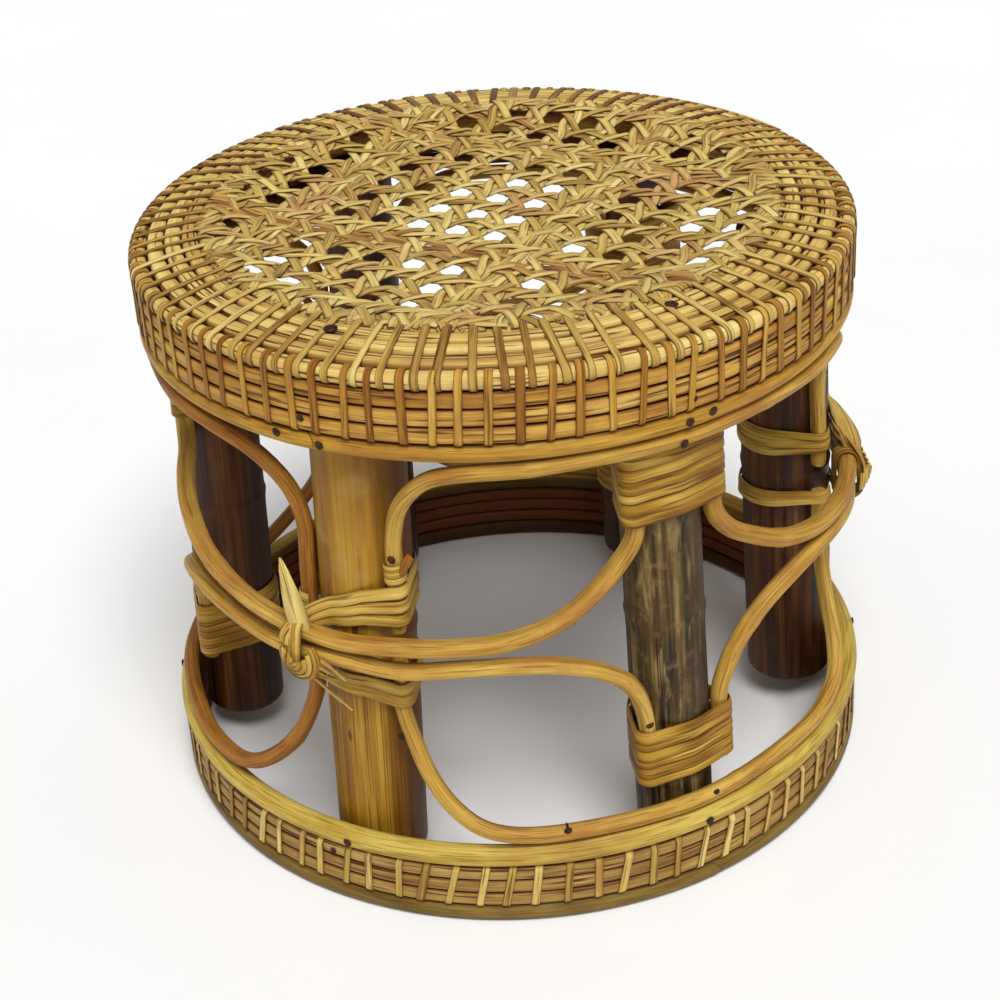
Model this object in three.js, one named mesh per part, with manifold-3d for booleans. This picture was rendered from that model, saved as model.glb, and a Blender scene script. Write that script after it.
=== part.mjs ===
// A round rattan stool: six pole legs between a seat drum and a base ring, bent canes lashed between them.
// Millimetres, +Z up. The origin is on the floor, at the middle of the base ring.
// A turn is an angle in degrees seen from above: 0 faces the front, -Y, and 90 is the right side, +X.
import * as THREE from 'three';
import { mergeVertices } from 'three/addons/utils/BufferGeometryUtils.js';
import Module from 'manifold-3d';

// Driving dimensions of the whole stool.
const stoolHeight = 296; // floor to the crown of the seat border
const seatRadius = 174.5; // outer face of the reeds in the seat wall
const baseRadius = 182.4; // outer face of the hoops in the base ring

// Hoops, as the diameters of their poles.
const seatHoopPole = 9.2;
const frameHoopPole = 12;
const frameHoopInset = 20.5; // how far inside the reeds of the wall it lies
const baseTopPole = 10.8;
const baseFloorPole = 9.6;
const floorCut = 0.5; // depth of the flat that stands on the floor

// Reed turns.
const borderReed = 8;
const wallReed = 8;
const baseReed = 7.2;
const borderTurns = 5;
const wallTurns = 3;
const baseTurns = 3;
const reedGap = 0.5;
const borderStartTurn = 160; // where each coil's reed begins
const wallStartTurn = 200;
const baseStartTurn = 100;
const crownHeight = 5; // how much higher the inner border turns lie than the shoulder turn

// Seat panel.
const caneThickness = 3.2;
const caneCellPitch = 20.6;
const caneHoleWidth = 10.8;
const caneRimWidth = 3.2; // least material between a hole and the rim
const caneTurn = 29.5; // how far the rows of holes are turned
const caneCellShiftShares = [-0.17, -0.36]; // of a cell, from the middle of the seat
const closedRowPeriod = 6; // every sixth row is a closed band, in both directions
const closedColumn = 2;
const closedRow = 4;

// Canes between the legs, as diameters.
const archCane = 8.2;
const bowCane = 8.4;
const garlandCane = 9.4;
const lowerArchCane = 8.8;

// Lashing strips.
const stripWidth = 5;
const bindingStripWidth = 6.4;
const stripThickness = 1.3;
const stripGap = 0.6;
const knotBandTurns = 3;
const knotLashingTurns = 2;
const knotOffset = 21; // how far to the side of its leg a knot is tied
const knotClearance = 2; // extra room round the two canes, which bend away inside the knot
const knotTipLength = 31;
const knotTipWidth = 8;

// Nails.
const nailLength = 26;
const nailShank = 1.9;
const nailHead = 4.4;
const nailHeadHeight = 0.9;
const nailProfileShares = { crownWidth: 0.6, crownHeight: 0.8, point: 0.15 };

// Clearances.
const fitGap = 0.3; // between pieces that touch
const wrapClearance = 0.35; // more room round a leg, where a strip bridges between facets

// Poles of the legs, as diameters.
const frontLeftPole = 44.5;
const frontRightPole = 38.5;
const rightPole = 46;
const rearPole = 40;
const leftPole = 42;
const footHeight = 16; // the feet end above the floor: the base ring carries the stool

// Legs. A top binding and a bottom binding hold the cane ends at a binding leg, and a knot holds them
// at a knot leg. lean is how far the top of the leg is turned from its foot. A knot leg's lifts say how
// much higher than usual its garland and its lower arch run, on the side before the leg and after it.
const legs = [
  { name: 'leg_front_left', turn: -28.6, lean: 1.4, pole: frontLeftPole, knot: true, colour: 0xa9742f,
    garlandLiftShares: [0.07, 0], archLiftShares: [0.01, 0] },
  { name: 'leg_front_right', turn: 28.4, lean: -1.2, pole: frontRightPole, knot: false, colour: 0x7b6136 },
  { name: 'leg_right', turn: 90, lean: 0, pole: rightPole, knot: true, colour: 0x4a2f1a,
    garlandLiftShares: [0, 0], archLiftShares: [0.02, 0] },
  { name: 'leg_rear_right', turn: 150, lean: 0, pole: rearPole, knot: false, colour: 0x5d4023 },
  { name: 'leg_rear_left', turn: 210, lean: 0, pole: rearPole, knot: true, colour: 0x5d4023,
    garlandLiftShares: [0, 0], archLiftShares: [0, 0] },
  { name: 'leg_left', turn: 270, lean: 0, pole: leftPole, knot: false, colour: 0x53331b },
];
const legSkinShares = [[0, 0.97], [0.3, 0.99], [0.46, 0.98], [0.49, 1], [0.52, 0.985], [1, 0.97]];

// Facets.
const hoopSteps = 32;
const poleSides = 8;
const legSides = 16;
const coilSteps = 24;
const climbSteps = 3; // of those, how many a coil takes to step to its next turn
const reedSides = 5;
const caneSteps = 25;
const caneSides = 6;
const stripSteps = 12;
const nailSides = 6;
const holeSides = 6;
const tipSteps = 4;

// Heights and radii that follow from the sizes above.
const baseHoopRadius = baseRadius - baseTopPole / 2;
const floorHoopHeight = baseFloorPole / 2 - floorCut;
const baseCoilHeight = floorHoopHeight + baseFloorPole / 2 + fitGap + baseReed / 2;
const baseCoilTop = baseCoilHeight + (baseTurns - 1) * (baseReed + reedGap) + baseReed / 2;
const baseTopHeight = baseCoilTop + fitGap + baseTopPole / 2;
const bowHeight = baseTopHeight + baseTopPole / 2 + fitGap + bowCane / 2;

const reedRadius = seatRadius - wallReed / 2;
const shoulderHeight = stoolHeight - crownHeight - borderReed / 2;
const wallTopHeight = shoulderHeight - borderReed / 2 - fitGap - wallReed / 2;
const wallHeight = wallTopHeight - (wallTurns - 1) * (wallReed + reedGap);
const seatHoopHeight = wallHeight - wallReed / 2 - fitGap - seatHoopPole / 2;
const archHeight = seatHoopHeight - seatHoopPole / 2 - fitGap - archCane / 2;
const frameHoopRadius = reedRadius - frameHoopInset;
const frameHoopHeight = borderHeightAt(frameHoopRadius) - borderReed / 2 - fitGap - frameHoopPole / 2;
const legTop = frameHoopHeight - frameHoopPole / 2 - fitGap;
const panelHeight = borderHeightAt(borderRadiusOf(borderTurns - 1)) - caneThickness / 2;
const panelRadius = insideFacets(borderRadiusOf(borderTurns - 1), coilSteps)
  - insideFacets(borderReed / 2, reedSides) - fitGap;

// Where the canes run: shares of the span between two legs, of the height between the bow and the arch,
// and of the way out from the side of a leg to the face of the ring.
const archPathShares = [[0.04, 0.865, 0.15], [0.12, 0.93, 0.45], [0.2, 0.968, 0.75], [0.32, 0.99, 1],
  [0.6, 0.996, 1]];
const bowPathShares = [[0.04, 0.235, 0.12], [0.1, 0.15, 0.35], [0.19, 0.08, 0.68], [0.3, 0.03, 0.93],
  [0.42, 0.008, 1], [0.65, 0.003, 1]];
const garlandPathShares = [[0.2, 0.533, 0.98], [0.38, 0.541, 0.95], [0.55, 0.552, 0.85], [0.72, 0.582, 0.6],
  [0.84, 0.628, 0.33], [0.94, 0.682, 0.1]];
const lowerArchPathShares = [[0.2, 0.468, 0.98], [0.4, 0.485, 0.95], [0.58, 0.486, 0.83], [0.72, 0.464, 0.62],
  [0.84, 0.42, 0.34], [0.94, 0.352, 0.12]];
const archEndShares = [0.53, 0.65, 0.78]; // heights of the points where the cane lies beside its leg
const bowEndShares = [0.45, 0.385, 0.32];
const garlandEndShares = [0.75, 0.86, 0.965];
const lowerArchEndShares = [0.24, 0.14, 0.05];
const garlandHeightShare = 0.524; // where a garland crosses its knot leg
const topBindingShares = [0.785, 0.945]; // lowest and highest strip middles
const bottomBindingShares = [0.06, 0.215];
const upperBandShare = 0.563;
const lowerBandShare = 0.361;
const upperBandTiltHeight = 5; // how much higher a band lies on the side away from its knot
const lowerBandTiltHeight = -5;
const quarterTurn = 90;
const caneBearing = 60; // where a cane lies against its leg, in degrees from the leg's outer face

const wasm = await Module();
wasm.setup();
const stool = new THREE.Group();

function radians(degrees) {
  return THREE.MathUtils.degToRad(degrees);
}

function onRing(turn, radius, height) {
  const angle = radians(turn);
  return new THREE.Vector3(radius * Math.sin(angle), -radius * Math.cos(angle), height);
}

// The radius that the flat facets of a ring reach inwards, for a ring drawn with that many steps.
function insideFacets(radius, steps) {
  return radius * Math.cos(Math.PI / steps);
}

function borderRadiusOf(turnNumber) {
  return seatRadius - wallReed / 2 - turnNumber * (borderReed + reedGap);
}

// The border is crowned: its turns climb inwards along a quarter of a sine wave.
function borderHeightAt(radius) {
  const share = (borderRadiusOf(0) - radius) / (borderRadiusOf(0) - borderRadiusOf(borderTurns - 1));
  return shoulderHeight + crownHeight * Math.sin(Math.min(share, 1) * Math.PI / 2);
}

function heightOf(share) {
  return THREE.MathUtils.lerp(bowHeight, archHeight, share);
}

// The middle of a leg at a height. Its outer side lies against the two hoops it is nailed to.
function legMiddle(leg, height) {
  const share = (height - baseTopHeight) / (seatHoopHeight - baseTopHeight);
  const outer = THREE.MathUtils.lerp(
    insideFacets(baseHoopRadius - baseTopPole / 2, hoopSteps),
    insideFacets(reedRadius - seatHoopPole / 2, hoopSteps),
    share,
  );
  return { turn: leg.turn + leg.lean * share, radius: outer - fitGap - leg.pole / 2 };
}

// A point beside a leg, where a cane of that diameter lies against it. side is -1 or 1.
function besideLeg(leg, cane, side, height) {
  const { turn, radius } = legMiddle(leg, height);
  const reach = (leg.pole + cane) / 2 + fitGap;
  const out = radius + reach * Math.cos(radians(caneBearing));
  const across = side * reach * Math.sin(radians(caneBearing));
  return { turn: turn + THREE.MathUtils.radToDeg(Math.atan2(across, out)), radius: Math.hypot(out, across) };
}

function pointBeside(leg, cane, side, height) {
  const place = besideLeg(leg, cane, side, height);
  return onRing(place.turn, place.radius, height);
}

// Half of a cane that ends beside a leg: its held points beside that leg, then its free points, which run
// from the turn of one leg to the turn of another and from beside the leg out to the face of the ring.
function halfPath({ leg, other, cane, faceRadius, endShares, pathShares, crossed = null, lift = 0 }) {
  const side = Math.sign(other.turn - leg.turn);
  const held = endShares.map((share) => pointBeside(leg, cane, side, heightOf(share)));
  const beside = besideLeg(leg, cane, side, heightOf(endShares.at(-1)));
  const reached = besideLeg(other, cane, -side, heightOf(endShares.at(-1)));
  const from = crossed ? legMiddle(crossed, heightOf(garlandHeightShare)).turn : beside.turn;
  const to = crossed ? beside.turn : reached.turn;
  const free = pathShares.map(([along, up, outwards]) => onRing(
    THREE.MathUtils.lerp(from, to, along),
    THREE.MathUtils.lerp(beside.radius, faceRadius, outwards),
    heightOf(up + lift * swell(along)),
  ));
  return crossed ? held.reverse().concat(free.reverse()) : held.concat(free);
}

// Rises from 0 to 1 at three quarters of the way, and falls to 0 at its end.
function swell(along) {
  return along ** 3 * (1 - along) * 256 / 27;
}

function nextTo(leg, step) {
  const index = legs.indexOf(leg) + step;
  const round = Math.floor(index / legs.length);
  const neighbour = legs[index - round * legs.length];
  return { ...neighbour, turn: neighbour.turn + round * 360 };
}

function polygon(diameter, sides) {
  const shape = new THREE.Shape();
  for (let corner = 0; corner < sides; corner += 1) {
    const angle = (corner + 0.5) / sides * 2 * Math.PI;
    const x = diameter / 2 * Math.cos(angle);
    const y = diameter / 2 * Math.sin(angle);
    if (corner === 0) shape.moveTo(x, y);
    else shape.lineTo(x, y);
  }
  shape.closePath();
  return shape;
}

function pathThrough(points) {
  return new THREE.CatmullRomCurve3(points, false, 'centripetal');
}

function caneAlong(extrudePath, diameter) {
  return new THREE.ExtrudeGeometry(polygon(diameter, caneSides), { steps: caneSteps, extrudePath });
}

// Where the facets of a cane's path pass a turn of the ring.
function passing(path, turn) {
  const across = onRing(turn + quarterTurn, 1, 0);
  const points = path.getSpacedPoints(caneSteps);
  const after = points.findIndex((point) => point.dot(across) > 0);
  const [first, second] = [points[after - 1], points[after]];
  const share = first.dot(across) / (first.dot(across) - second.dot(across));
  const place = first.clone().lerp(second, share);
  return { radius: Math.hypot(place.x, place.y), height: place.z };
}

function addPiece(name, geometry, colour, roughness) {
  const material = new THREE.MeshStandardMaterial({ color: colour, roughness, metalness: 0 });
  const mesh = new THREE.Mesh(geometry, material);
  mesh.name = name;
  stool.add(mesh);
  return mesh;
}

const poleRoughness = 0.45;
const reedRoughness = 0.6;
const nailRoughness = 0.4;
const strawColour = 0xc9a65a;
const stripColour = 0xb8954c;
const hoopColour = 0xb98a35;
const caneColour = 0xb07a30;
const nailColour = 0x2c211b;

function toSolid(geometry) {
  const bare = geometry.clone();
  bare.deleteAttribute('normal');
  bare.deleteAttribute('uv');
  const merged = mergeVertices(bare, fitGap / 1000);
  const mesh = new wasm.Mesh({
    numProp: 3,
    vertProperties: new Float32Array(merged.attributes.position.array),
    triVerts: new Uint32Array(merged.index.array),
  });
  return new wasm.Manifold(mesh);
}

function toGeometry(solid) {
  const { vertProperties, triVerts } = solid.getMesh();
  const geometry = new THREE.BufferGeometry();
  geometry.setAttribute('position', new THREE.BufferAttribute(vertProperties, 3));
  geometry.setIndex(new THREE.BufferAttribute(triVerts, 1));
  geometry.computeVertexNormals();
  return geometry;
}

// Turns a piece made along +Y so that it points inwards at a place on the ring.
function aimInwards(geometry, turn, radius, height) {
  const inwards = onRing(turn, -1, 0);
  const turned = new THREE.Quaternion().setFromUnitVectors(new THREE.Vector3(0, 1, 0), inwards);
  const middle = onRing(turn, radius, height);
  return geometry.applyQuaternion(turned).translate(middle.x, middle.y, middle.z);
}

// The nail bores, cut through a hoop and into the leg behind it.
function nailBore(leg, radius, height) {
  const width = nailShank + 2 * fitGap;
  const length = nailLength + fitGap;
  const bore = new THREE.CylinderGeometry(width / 2, width / 2, length, nailSides);
  bore.translate(0, length / 2, 0);
  const { turn } = legMiddle(leg, height);
  return toSolid(aimInwards(bore, turn, radius, height));
}

function boredFor(geometry, bores) {
  let solid = toSolid(geometry);
  for (const bore of bores) solid = solid.subtract(bore);
  return toGeometry(solid);
}

const seatNailRadius = reedRadius + seatHoopPole / 2 + fitGap;
const baseNailRadius = baseRadius + fitGap;

function seatBores(list) {
  return list.map((leg) => nailBore(leg, seatNailRadius, seatHoopHeight));
}

function baseBores(list) {
  return list.map((leg) => nailBore(leg, baseNailRadius, baseTopHeight));
}

// A hoop bent from a round pole. flatAngle is where its outline starts and ends, in radians below the
// level of its middle: a full circle without it, or the two corners of a flat underneath.
function hoop(radius, height, pole, flatAngle = Math.PI / 2) {
  const points = [];
  for (let side = 0; side <= poleSides; side += 1) {
    const angle = THREE.MathUtils.lerp(-flatAngle, Math.PI + flatAngle, side / poleSides);
    const out = radius + pole / 2 * Math.cos(angle);
    points.push(new THREE.Vector2(out, height + pole / 2 * Math.sin(angle)));
  }
  if (flatAngle < Math.PI / 2) points.push(points[0].clone());
  else points[poleSides] = points[0].clone();
  return new THREE.LatheGeometry(points, hoopSteps).rotateX(Math.PI / 2);
}

function addHoops() {
  const seatHoop = hoop(reedRadius, seatHoopHeight, seatHoopPole);
  addPiece('seat_hoop', boredFor(seatHoop, seatBores(legs)), hoopColour, poleRoughness);
  const frameHoop = hoop(frameHoopRadius, frameHoopHeight, frameHoopPole);
  addPiece('seat_frame_hoop', frameHoop, caneColour, poleRoughness);
  const baseHoop = hoop(baseHoopRadius, baseTopHeight, baseTopPole);
  addPiece('base_top_hoop', boredFor(baseHoop, baseBores(legs)), hoopColour, poleRoughness);
  const flatAngle = Math.asin(1 - floorCut / (baseFloorPole / 2));
  const floorHoop = hoop(baseHoopRadius, floorHoopHeight, baseFloorPole, flatAngle);
  addPiece('base_floor_hoop', floorHoop, hoopColour, poleRoughness);
}

// A leg is a pole with a slight swelling at its node, built upright and then tilted to its place.
function addLeg(leg) {
  const foot = legMiddle(leg, footHeight);
  const top = legMiddle(leg, legTop);
  const from = onRing(foot.turn, foot.radius, footHeight);
  const along = onRing(top.turn, top.radius, legTop).sub(from);
  const length = along.length() - leg.pole / 2 * Math.hypot(along.x, along.y) / along.length();
  const skin = legSkinShares.map(([up, wide]) => new THREE.Vector2(wide * leg.pole / 2, up * length));
  const profile = [new THREE.Vector2(0, 0), ...skin, new THREE.Vector2(0, length)];
  const geometry = new THREE.LatheGeometry(profile, legSides).rotateX(Math.PI / 2);
  const tilt = new THREE.Quaternion().setFromUnitVectors(new THREE.Vector3(0, 0, 1), along.normalize());
  geometry.applyQuaternion(tilt).translate(from.x, from.y, from.z);
  const bored = boredFor(geometry, [...seatBores([leg]), ...baseBores([leg])]);
  addPiece(leg.name, bored, leg.colour, poleRoughness);
}

function addNails() {
  const head = nailHead / 2;
  const shank = nailShank / 2;
  const { crownWidth, crownHeight, point } = nailProfileShares;
  const profile = [[0, -nailHeadHeight], [head * crownWidth, -nailHeadHeight * crownHeight], [head, 0],
    [shank, 0], [shank, nailLength * (1 - point)], [0, nailLength - fitGap]];
  const points = profile.map(([x, y]) => new THREE.Vector2(x, y));
  legs.forEach((leg, index) => {
    const seat = new THREE.LatheGeometry(points, nailSides);
    const seatTurn = legMiddle(leg, seatHoopHeight).turn;
    aimInwards(seat, seatTurn, seatNailRadius, seatHoopHeight);
    addPiece(`nail_seat_${index + 1}`, seat, nailColour, nailRoughness);
    const base = new THREE.LatheGeometry(points, nailSides);
    const baseTurn = legMiddle(leg, baseTopHeight).turn;
    aimInwards(base, baseTurn, baseNailRadius, baseTopHeight);
    addPiece(`nail_base_${index + 1}`, base, nailColour, nailRoughness);
  });
}

// A wound form: a section carried through stations, closed at both ends. Each station has its place, the
// direction out of the winding and the direction along its axis. The least gap between points of
// different loops is printed.
function wind(name, stations, section, perLoop) {
  const positions = [];
  for (const { place, out, axis } of stations) {
    for (const [outwards, along] of section) {
      const point = place.clone().addScaledVector(out, outwards).addScaledVector(axis, along);
      positions.push(point);
    }
  }
  const sides = section.length;
  const rings = stations.length;
  const index = [];
  for (let ring = 0; ring < rings - 1; ring += 1) {
    for (let side = 0; side < sides; side += 1) {
      const a = ring * sides + side;
      const b = ring * sides + (side + 1) % sides;
      index.push(a, b, b + sides, a, b + sides, a + sides);
    }
  }
  for (let side = 1; side < sides - 1; side += 1) {
    const last = (rings - 1) * sides;
    index.push(0, side + 1, side, last, last + side, last + side + 1);
  }
  printLeastGap(name, positions, sides, perLoop);
  const geometry = new THREE.BufferGeometry().setFromPoints(positions);
  if (signedVolume(positions, index) < 0) index.reverse();
  geometry.setIndex(index);
  geometry.computeVertexNormals();
  return geometry;
}

function signedVolume(positions, index) {
  let sum = 0;
  for (let i = 0; i < index.length; i += 3) {
    const [a, b, c] = [positions[index[i]], positions[index[i + 1]], positions[index[i + 2]]];
    sum += a.dot(new THREE.Vector3().crossVectors(b, c)) / 6;
  }
  return sum;
}

function printLeastGap(name, positions, sides, perLoop) {
  let least = Infinity;
  for (let i = 0; i < positions.length; i += 1) {
    const nextLoop = (Math.floor(i / sides) + Math.ceil(perLoop / 2)) * sides;
    for (let j = nextLoop; j < positions.length; j += 1) {
      least = Math.min(least, positions[i].distanceTo(positions[j]));
    }
  }
  console.log(`${name}: least gap to itself ${least.toFixed(2)} mm`);
}

function reedSection(diameter) {
  const corners = [];
  for (let side = 0; side < reedSides; side += 1) {
    const angle = side / reedSides * 2 * Math.PI;
    corners.push([diameter / 2 * Math.cos(angle), diameter / 2 * Math.sin(angle)]);
  }
  return corners;
}

// A reed coil keeps level for most of each turn and steps to the next one over the last steps of the turn.
function coilLevel(step) {
  const turnNumber = Math.floor(step / coilSteps);
  const rest = step - turnNumber * coilSteps - (coilSteps - climbSteps);
  return turnNumber + Math.max(rest, 0) / climbSteps;
}

function coil(name, turns, diameter, startTurn, placeOf) {
  const stations = [];
  const last = turns * coilSteps - climbSteps;
  for (let step = 0; step <= last; step += 1) {
    const turn = startTurn + step / coilSteps * 360;
    const { radius, height } = placeOf(coilLevel(step));
    const place = onRing(turn, radius, height);
    stations.push({ place, out: onRing(turn, 1, 0), axis: new THREE.Vector3(0, 0, 1) });
  }
  return wind(name, stations, reedSection(diameter), coilSteps);
}

function addCoils() {
  const border = coil('seat_border_coil', borderTurns, borderReed, borderStartTurn, (level) => {
    const radius = borderRadiusOf(level);
    return { radius, height: borderHeightAt(radius) };
  });
  addPiece('seat_border_coil', border, strawColour, reedRoughness);
  const wall = coil('seat_wall_coil', wallTurns, wallReed, wallStartTurn, (level) => (
    { radius: reedRadius, height: wallHeight + level * (wallReed + reedGap) }
  ));
  addPiece('seat_wall_coil', wall, strawColour, reedRoughness);
  const base = coil('base_coil', baseTurns, baseReed, baseStartTurn, (level) => (
    { radius: baseHoopRadius, height: baseCoilHeight + level * (baseReed + reedGap) }
  ));
  addPiece('base_coil', base, strawColour, reedRoughness);
}

// The seat panel: a disc with a grid of holes, less the rows that the doubled canes close.
function isClosed(row, closed) {
  return (row - closed) % closedRowPeriod === 0;
}

function addPanel() {
  const disc = new THREE.Shape().absarc(0, 0, panelRadius, 0, 2 * Math.PI);
  const reach = panelRadius - caneRimWidth - caneHoleWidth / 2;
  const most = Math.ceil(reach / caneCellPitch) + 1;
  for (let row = -most; row <= most; row += 1) {
    for (let column = -most; column <= most; column += 1) {
      const x = (column + caneCellShiftShares[0]) * caneCellPitch;
      const y = (row + caneCellShiftShares[1]) * caneCellPitch;
      if (isClosed(column, closedColumn) || isClosed(row, closedRow) || Math.hypot(x, y) > reach) continue;
      const hole = new THREE.Path();
      for (let corner = 0; corner <= holeSides; corner += 1) {
        const angle = -(corner + 0.5) / holeSides * 2 * Math.PI;
        const at = [x + caneHoleWidth / 2 * Math.cos(angle), y + caneHoleWidth / 2 * Math.sin(angle)];
        if (corner === 0) hole.moveTo(...at);
        else hole.lineTo(...at);
      }
      disc.holes.push(hole);
    }
  }
  const options = { depth: caneThickness, bevelEnabled: false, curveSegments: coilSteps };
  const panel = new THREE.ExtrudeGeometry(disc, options).rotateZ(-radians(caneTurn));
  addPiece('cane_panel', panel.translate(0, 0, panelHeight), strawColour, reedRoughness);
}

function stripSection(width = stripWidth) {
  const thick = stripThickness / 2;
  const wide = width / 2;
  return [[thick, -wide], [thick, wide], [-thick, wide], [-thick, -wide]];
}

// The point of a taut band round some discs, in the direction of an angle. Each disc has a middle and a
// radius, and the band lies offset outside them.
function bandPoint(discs, angle, offset) {
  const direction = new THREE.Vector2(Math.cos(angle), Math.sin(angle));
  let best = null;
  for (const disc of discs) {
    const reach = disc.middle.dot(direction) + disc.radius;
    if (!best || reach > best.reach) best = { reach, disc };
  }
  const radius = (best.disc.radius + offset) / Math.cos(Math.PI / stripSteps);
  return { place: best.disc.middle.clone().addScaledVector(direction, radius), direction };
}

function discAt(point, diameter) {
  return { middle: new THREE.Vector2(point.x, point.y), radius: diameter / 2 };
}

// A strip wound round a leg and the two cane ends beside it.
function legWinding(name, leg, cane, turns, width, heightAt) {
  const stations = [];
  for (let step = 0; step <= turns * stripSteps; step += 1) {
    const level = step / stripSteps;
    const angle = radians(leg.turn) + Math.PI / 2 + level * 2 * Math.PI;
    const height = heightAt(level, 0);
    const { turn, radius } = legMiddle(leg, height);
    const discs = [
      discAt(onRing(turn, radius, height), leg.pole),
      discAt(pointBeside(leg, cane, -1, height), cane),
      discAt(pointBeside(leg, cane, 1, height), cane),
    ];
    const { place, direction } = bandPoint(discs, angle, fitGap + wrapClearance + stripThickness / 2);
    const out = new THREE.Vector3(direction.x, direction.y, 0);
    const across = onRing(turn + quarterTurn, 1, 0);
    const side = new THREE.Vector3(place.x, place.y, 0).dot(across) / (leg.pole / 2);
    stations.push({
      place: new THREE.Vector3(place.x, place.y, heightAt(level, side)),
      out,
      axis: new THREE.Vector3(0, 0, 1),
    });
  }
  return wind(name, stations, stripSection(width), stripSteps);
}

// A binding leg carries one winding at each end of its height. heights are those of the first and last turns.
function addBinding(name, leg, cane, shares) {
  const [low, high] = shares.map(heightOf);
  const turns = Math.floor((high - low) / (bindingStripWidth + stripGap));
  const rise = (high - low) / turns;
  const winding = legWinding(name, leg, cane, turns, bindingStripWidth, (level) => low + level * rise);
  addPiece(name, winding, stripColour, reedRoughness);
}

function addKnot(number, leg, paths) {
  const pitch = stripWidth + stripGap;
  const upper = heightOf(upperBandShare);
  const upperBand = legWinding(`knot_band_upper_${number}`, leg, archCane, knotBandTurns, stripWidth,
    (level, side) => upper + level * pitch + side * upperBandTiltHeight / 2);
  addPiece(`knot_band_upper_${number}`, upperBand, stripColour, reedRoughness);
  const lower = heightOf(lowerBandShare);
  const lowerBand = legWinding(`knot_band_lower_${number}`, leg, bowCane, knotBandTurns - 1, stripWidth,
    (level, side) => lower + level * pitch + side * lowerBandTiltHeight / 2);
  addPiece(`knot_band_lower_${number}`, lowerBand, stripColour, reedRoughness);
  addKnotLashing(number, leg, paths);
}

// Where the two canes cross a knot leg, one above the other.
function crossing(leg) {
  const upperHeight = heightOf(garlandHeightShare);
  const lowerHeight = upperHeight - (garlandCane + lowerArchCane) / 2 - fitGap;
  const underStrip = stripThickness + 3 * fitGap + wrapClearance;
  const faceAt = (height) => legMiddle(leg, height).radius + leg.pole / 2 + underStrip;
  return {
    upper: { height: upperHeight, radius: faceAt(upperHeight) + garlandCane / 2 },
    lower: { height: lowerHeight, radius: faceAt(lowerHeight) + lowerArchCane / 2 },
  };
}

// The cross lashing is wound round both canes, beside the leg.
function addKnotLashing(number, leg, { garland, lowerArch }) {
  const onLeg = crossing(leg).upper;
  const middleTurn = legMiddle(leg, onLeg.height).turn - THREE.MathUtils.radToDeg(knotOffset / onLeg.radius);
  const upper = passing(garland, middleTurn);
  const lower = passing(lowerArch, middleTurn);
  const discs = [
    { middle: new THREE.Vector2(upper.radius, upper.height), radius: garlandCane / 2 },
    { middle: new THREE.Vector2(lower.radius, lower.height), radius: lowerArchCane / 2 },
  ];
  const pitch = stripWidth + stripGap;
  const out = onRing(middleTurn, 1, 0);
  const across = onRing(middleTurn + quarterTurn, 1, 0);
  const stations = [];
  for (let step = 0; step <= knotLashingTurns * stripSteps; step += 1) {
    const level = step / stripSteps;
    const { place, direction } = bandPoint(discs, level * 2 * Math.PI, knotClearance + stripThickness / 2);
    const point = out.clone().multiplyScalar(place.x).setZ(place.y);
    stations.push({
      place: point.addScaledVector(across, (level - knotLashingTurns / 2) * pitch),
      out: out.clone().multiplyScalar(direction.x).setZ(direction.y),
      axis: across,
    });
  }
  const lashing = wind(`knot_lashing_${number}`, stations, stripSection(), stripSteps);
  addPiece(`knot_lashing_${number}`, lashing, stripColour, reedRoughness);
  addKnotTip(number, upper, out, across);
}

// The loose end of the knot: a strip that narrows to a point and stands up out of the lashing.
function addKnotTip(number, upper, out, across) {
  const half = knotTipWidth / 2;
  const outline = new THREE.Shape();
  outline.moveTo(-half, 0);
  outline.lineTo(half, 0);
  outline.quadraticCurveTo(half, knotTipLength / 2, stripThickness / 2, knotTipLength);
  outline.lineTo(-stripThickness / 2, knotTipLength);
  outline.quadraticCurveTo(-half, knotTipLength / 2, -half, 0);
  const options = { depth: stripThickness, bevelEnabled: false, curveSegments: tipSteps };
  const tip = new THREE.ExtrudeGeometry(outline, options);
  const foot = out.clone().multiplyScalar(upper.radius - stripThickness / 2);
  foot.setZ(upper.height + garlandCane / 2 + knotClearance + stripThickness + 2 * fitGap);
  tip.applyMatrix4(new THREE.Matrix4().makeBasis(across, new THREE.Vector3(0, 0, 1), out));
  tip.translate(foot.x, foot.y, foot.z);
  addPiece(`knot_tip_${number}`, tip, stripColour, reedRoughness);
}

// The arch and the bow run from knot leg to knot leg, across the binding leg between them.
function addKnotToKnot(number, leg) {
  const spans = [[nextTo(leg, -1), leg], [nextTo(leg, 1), leg]];
  const addCane = (name, cane, faceRadius, height, endShares, pathShares) => {
    const [first, last] = spans.map(([end, other]) => (
      halfPath({ leg: end, other, cane, faceRadius, endShares, pathShares })
    ));
    const points = [...first, onRing(leg.turn, faceRadius, height), ...last.reverse()];
    addPiece(name, caneAlong(pathThrough(points), cane), caneColour, poleRoughness);
  };
  const archRadius = reedRadius + (archCane - seatHoopPole) / 2;
  const bowRadius = baseHoopRadius - (baseTopPole - bowCane) / 2;
  addCane(`upper_arch_${number}`, archCane, archRadius, archHeight, archEndShares, archPathShares);
  addCane(`lower_bow_${number}`, bowCane, bowRadius, bowHeight, bowEndShares, bowPathShares);
}

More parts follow.
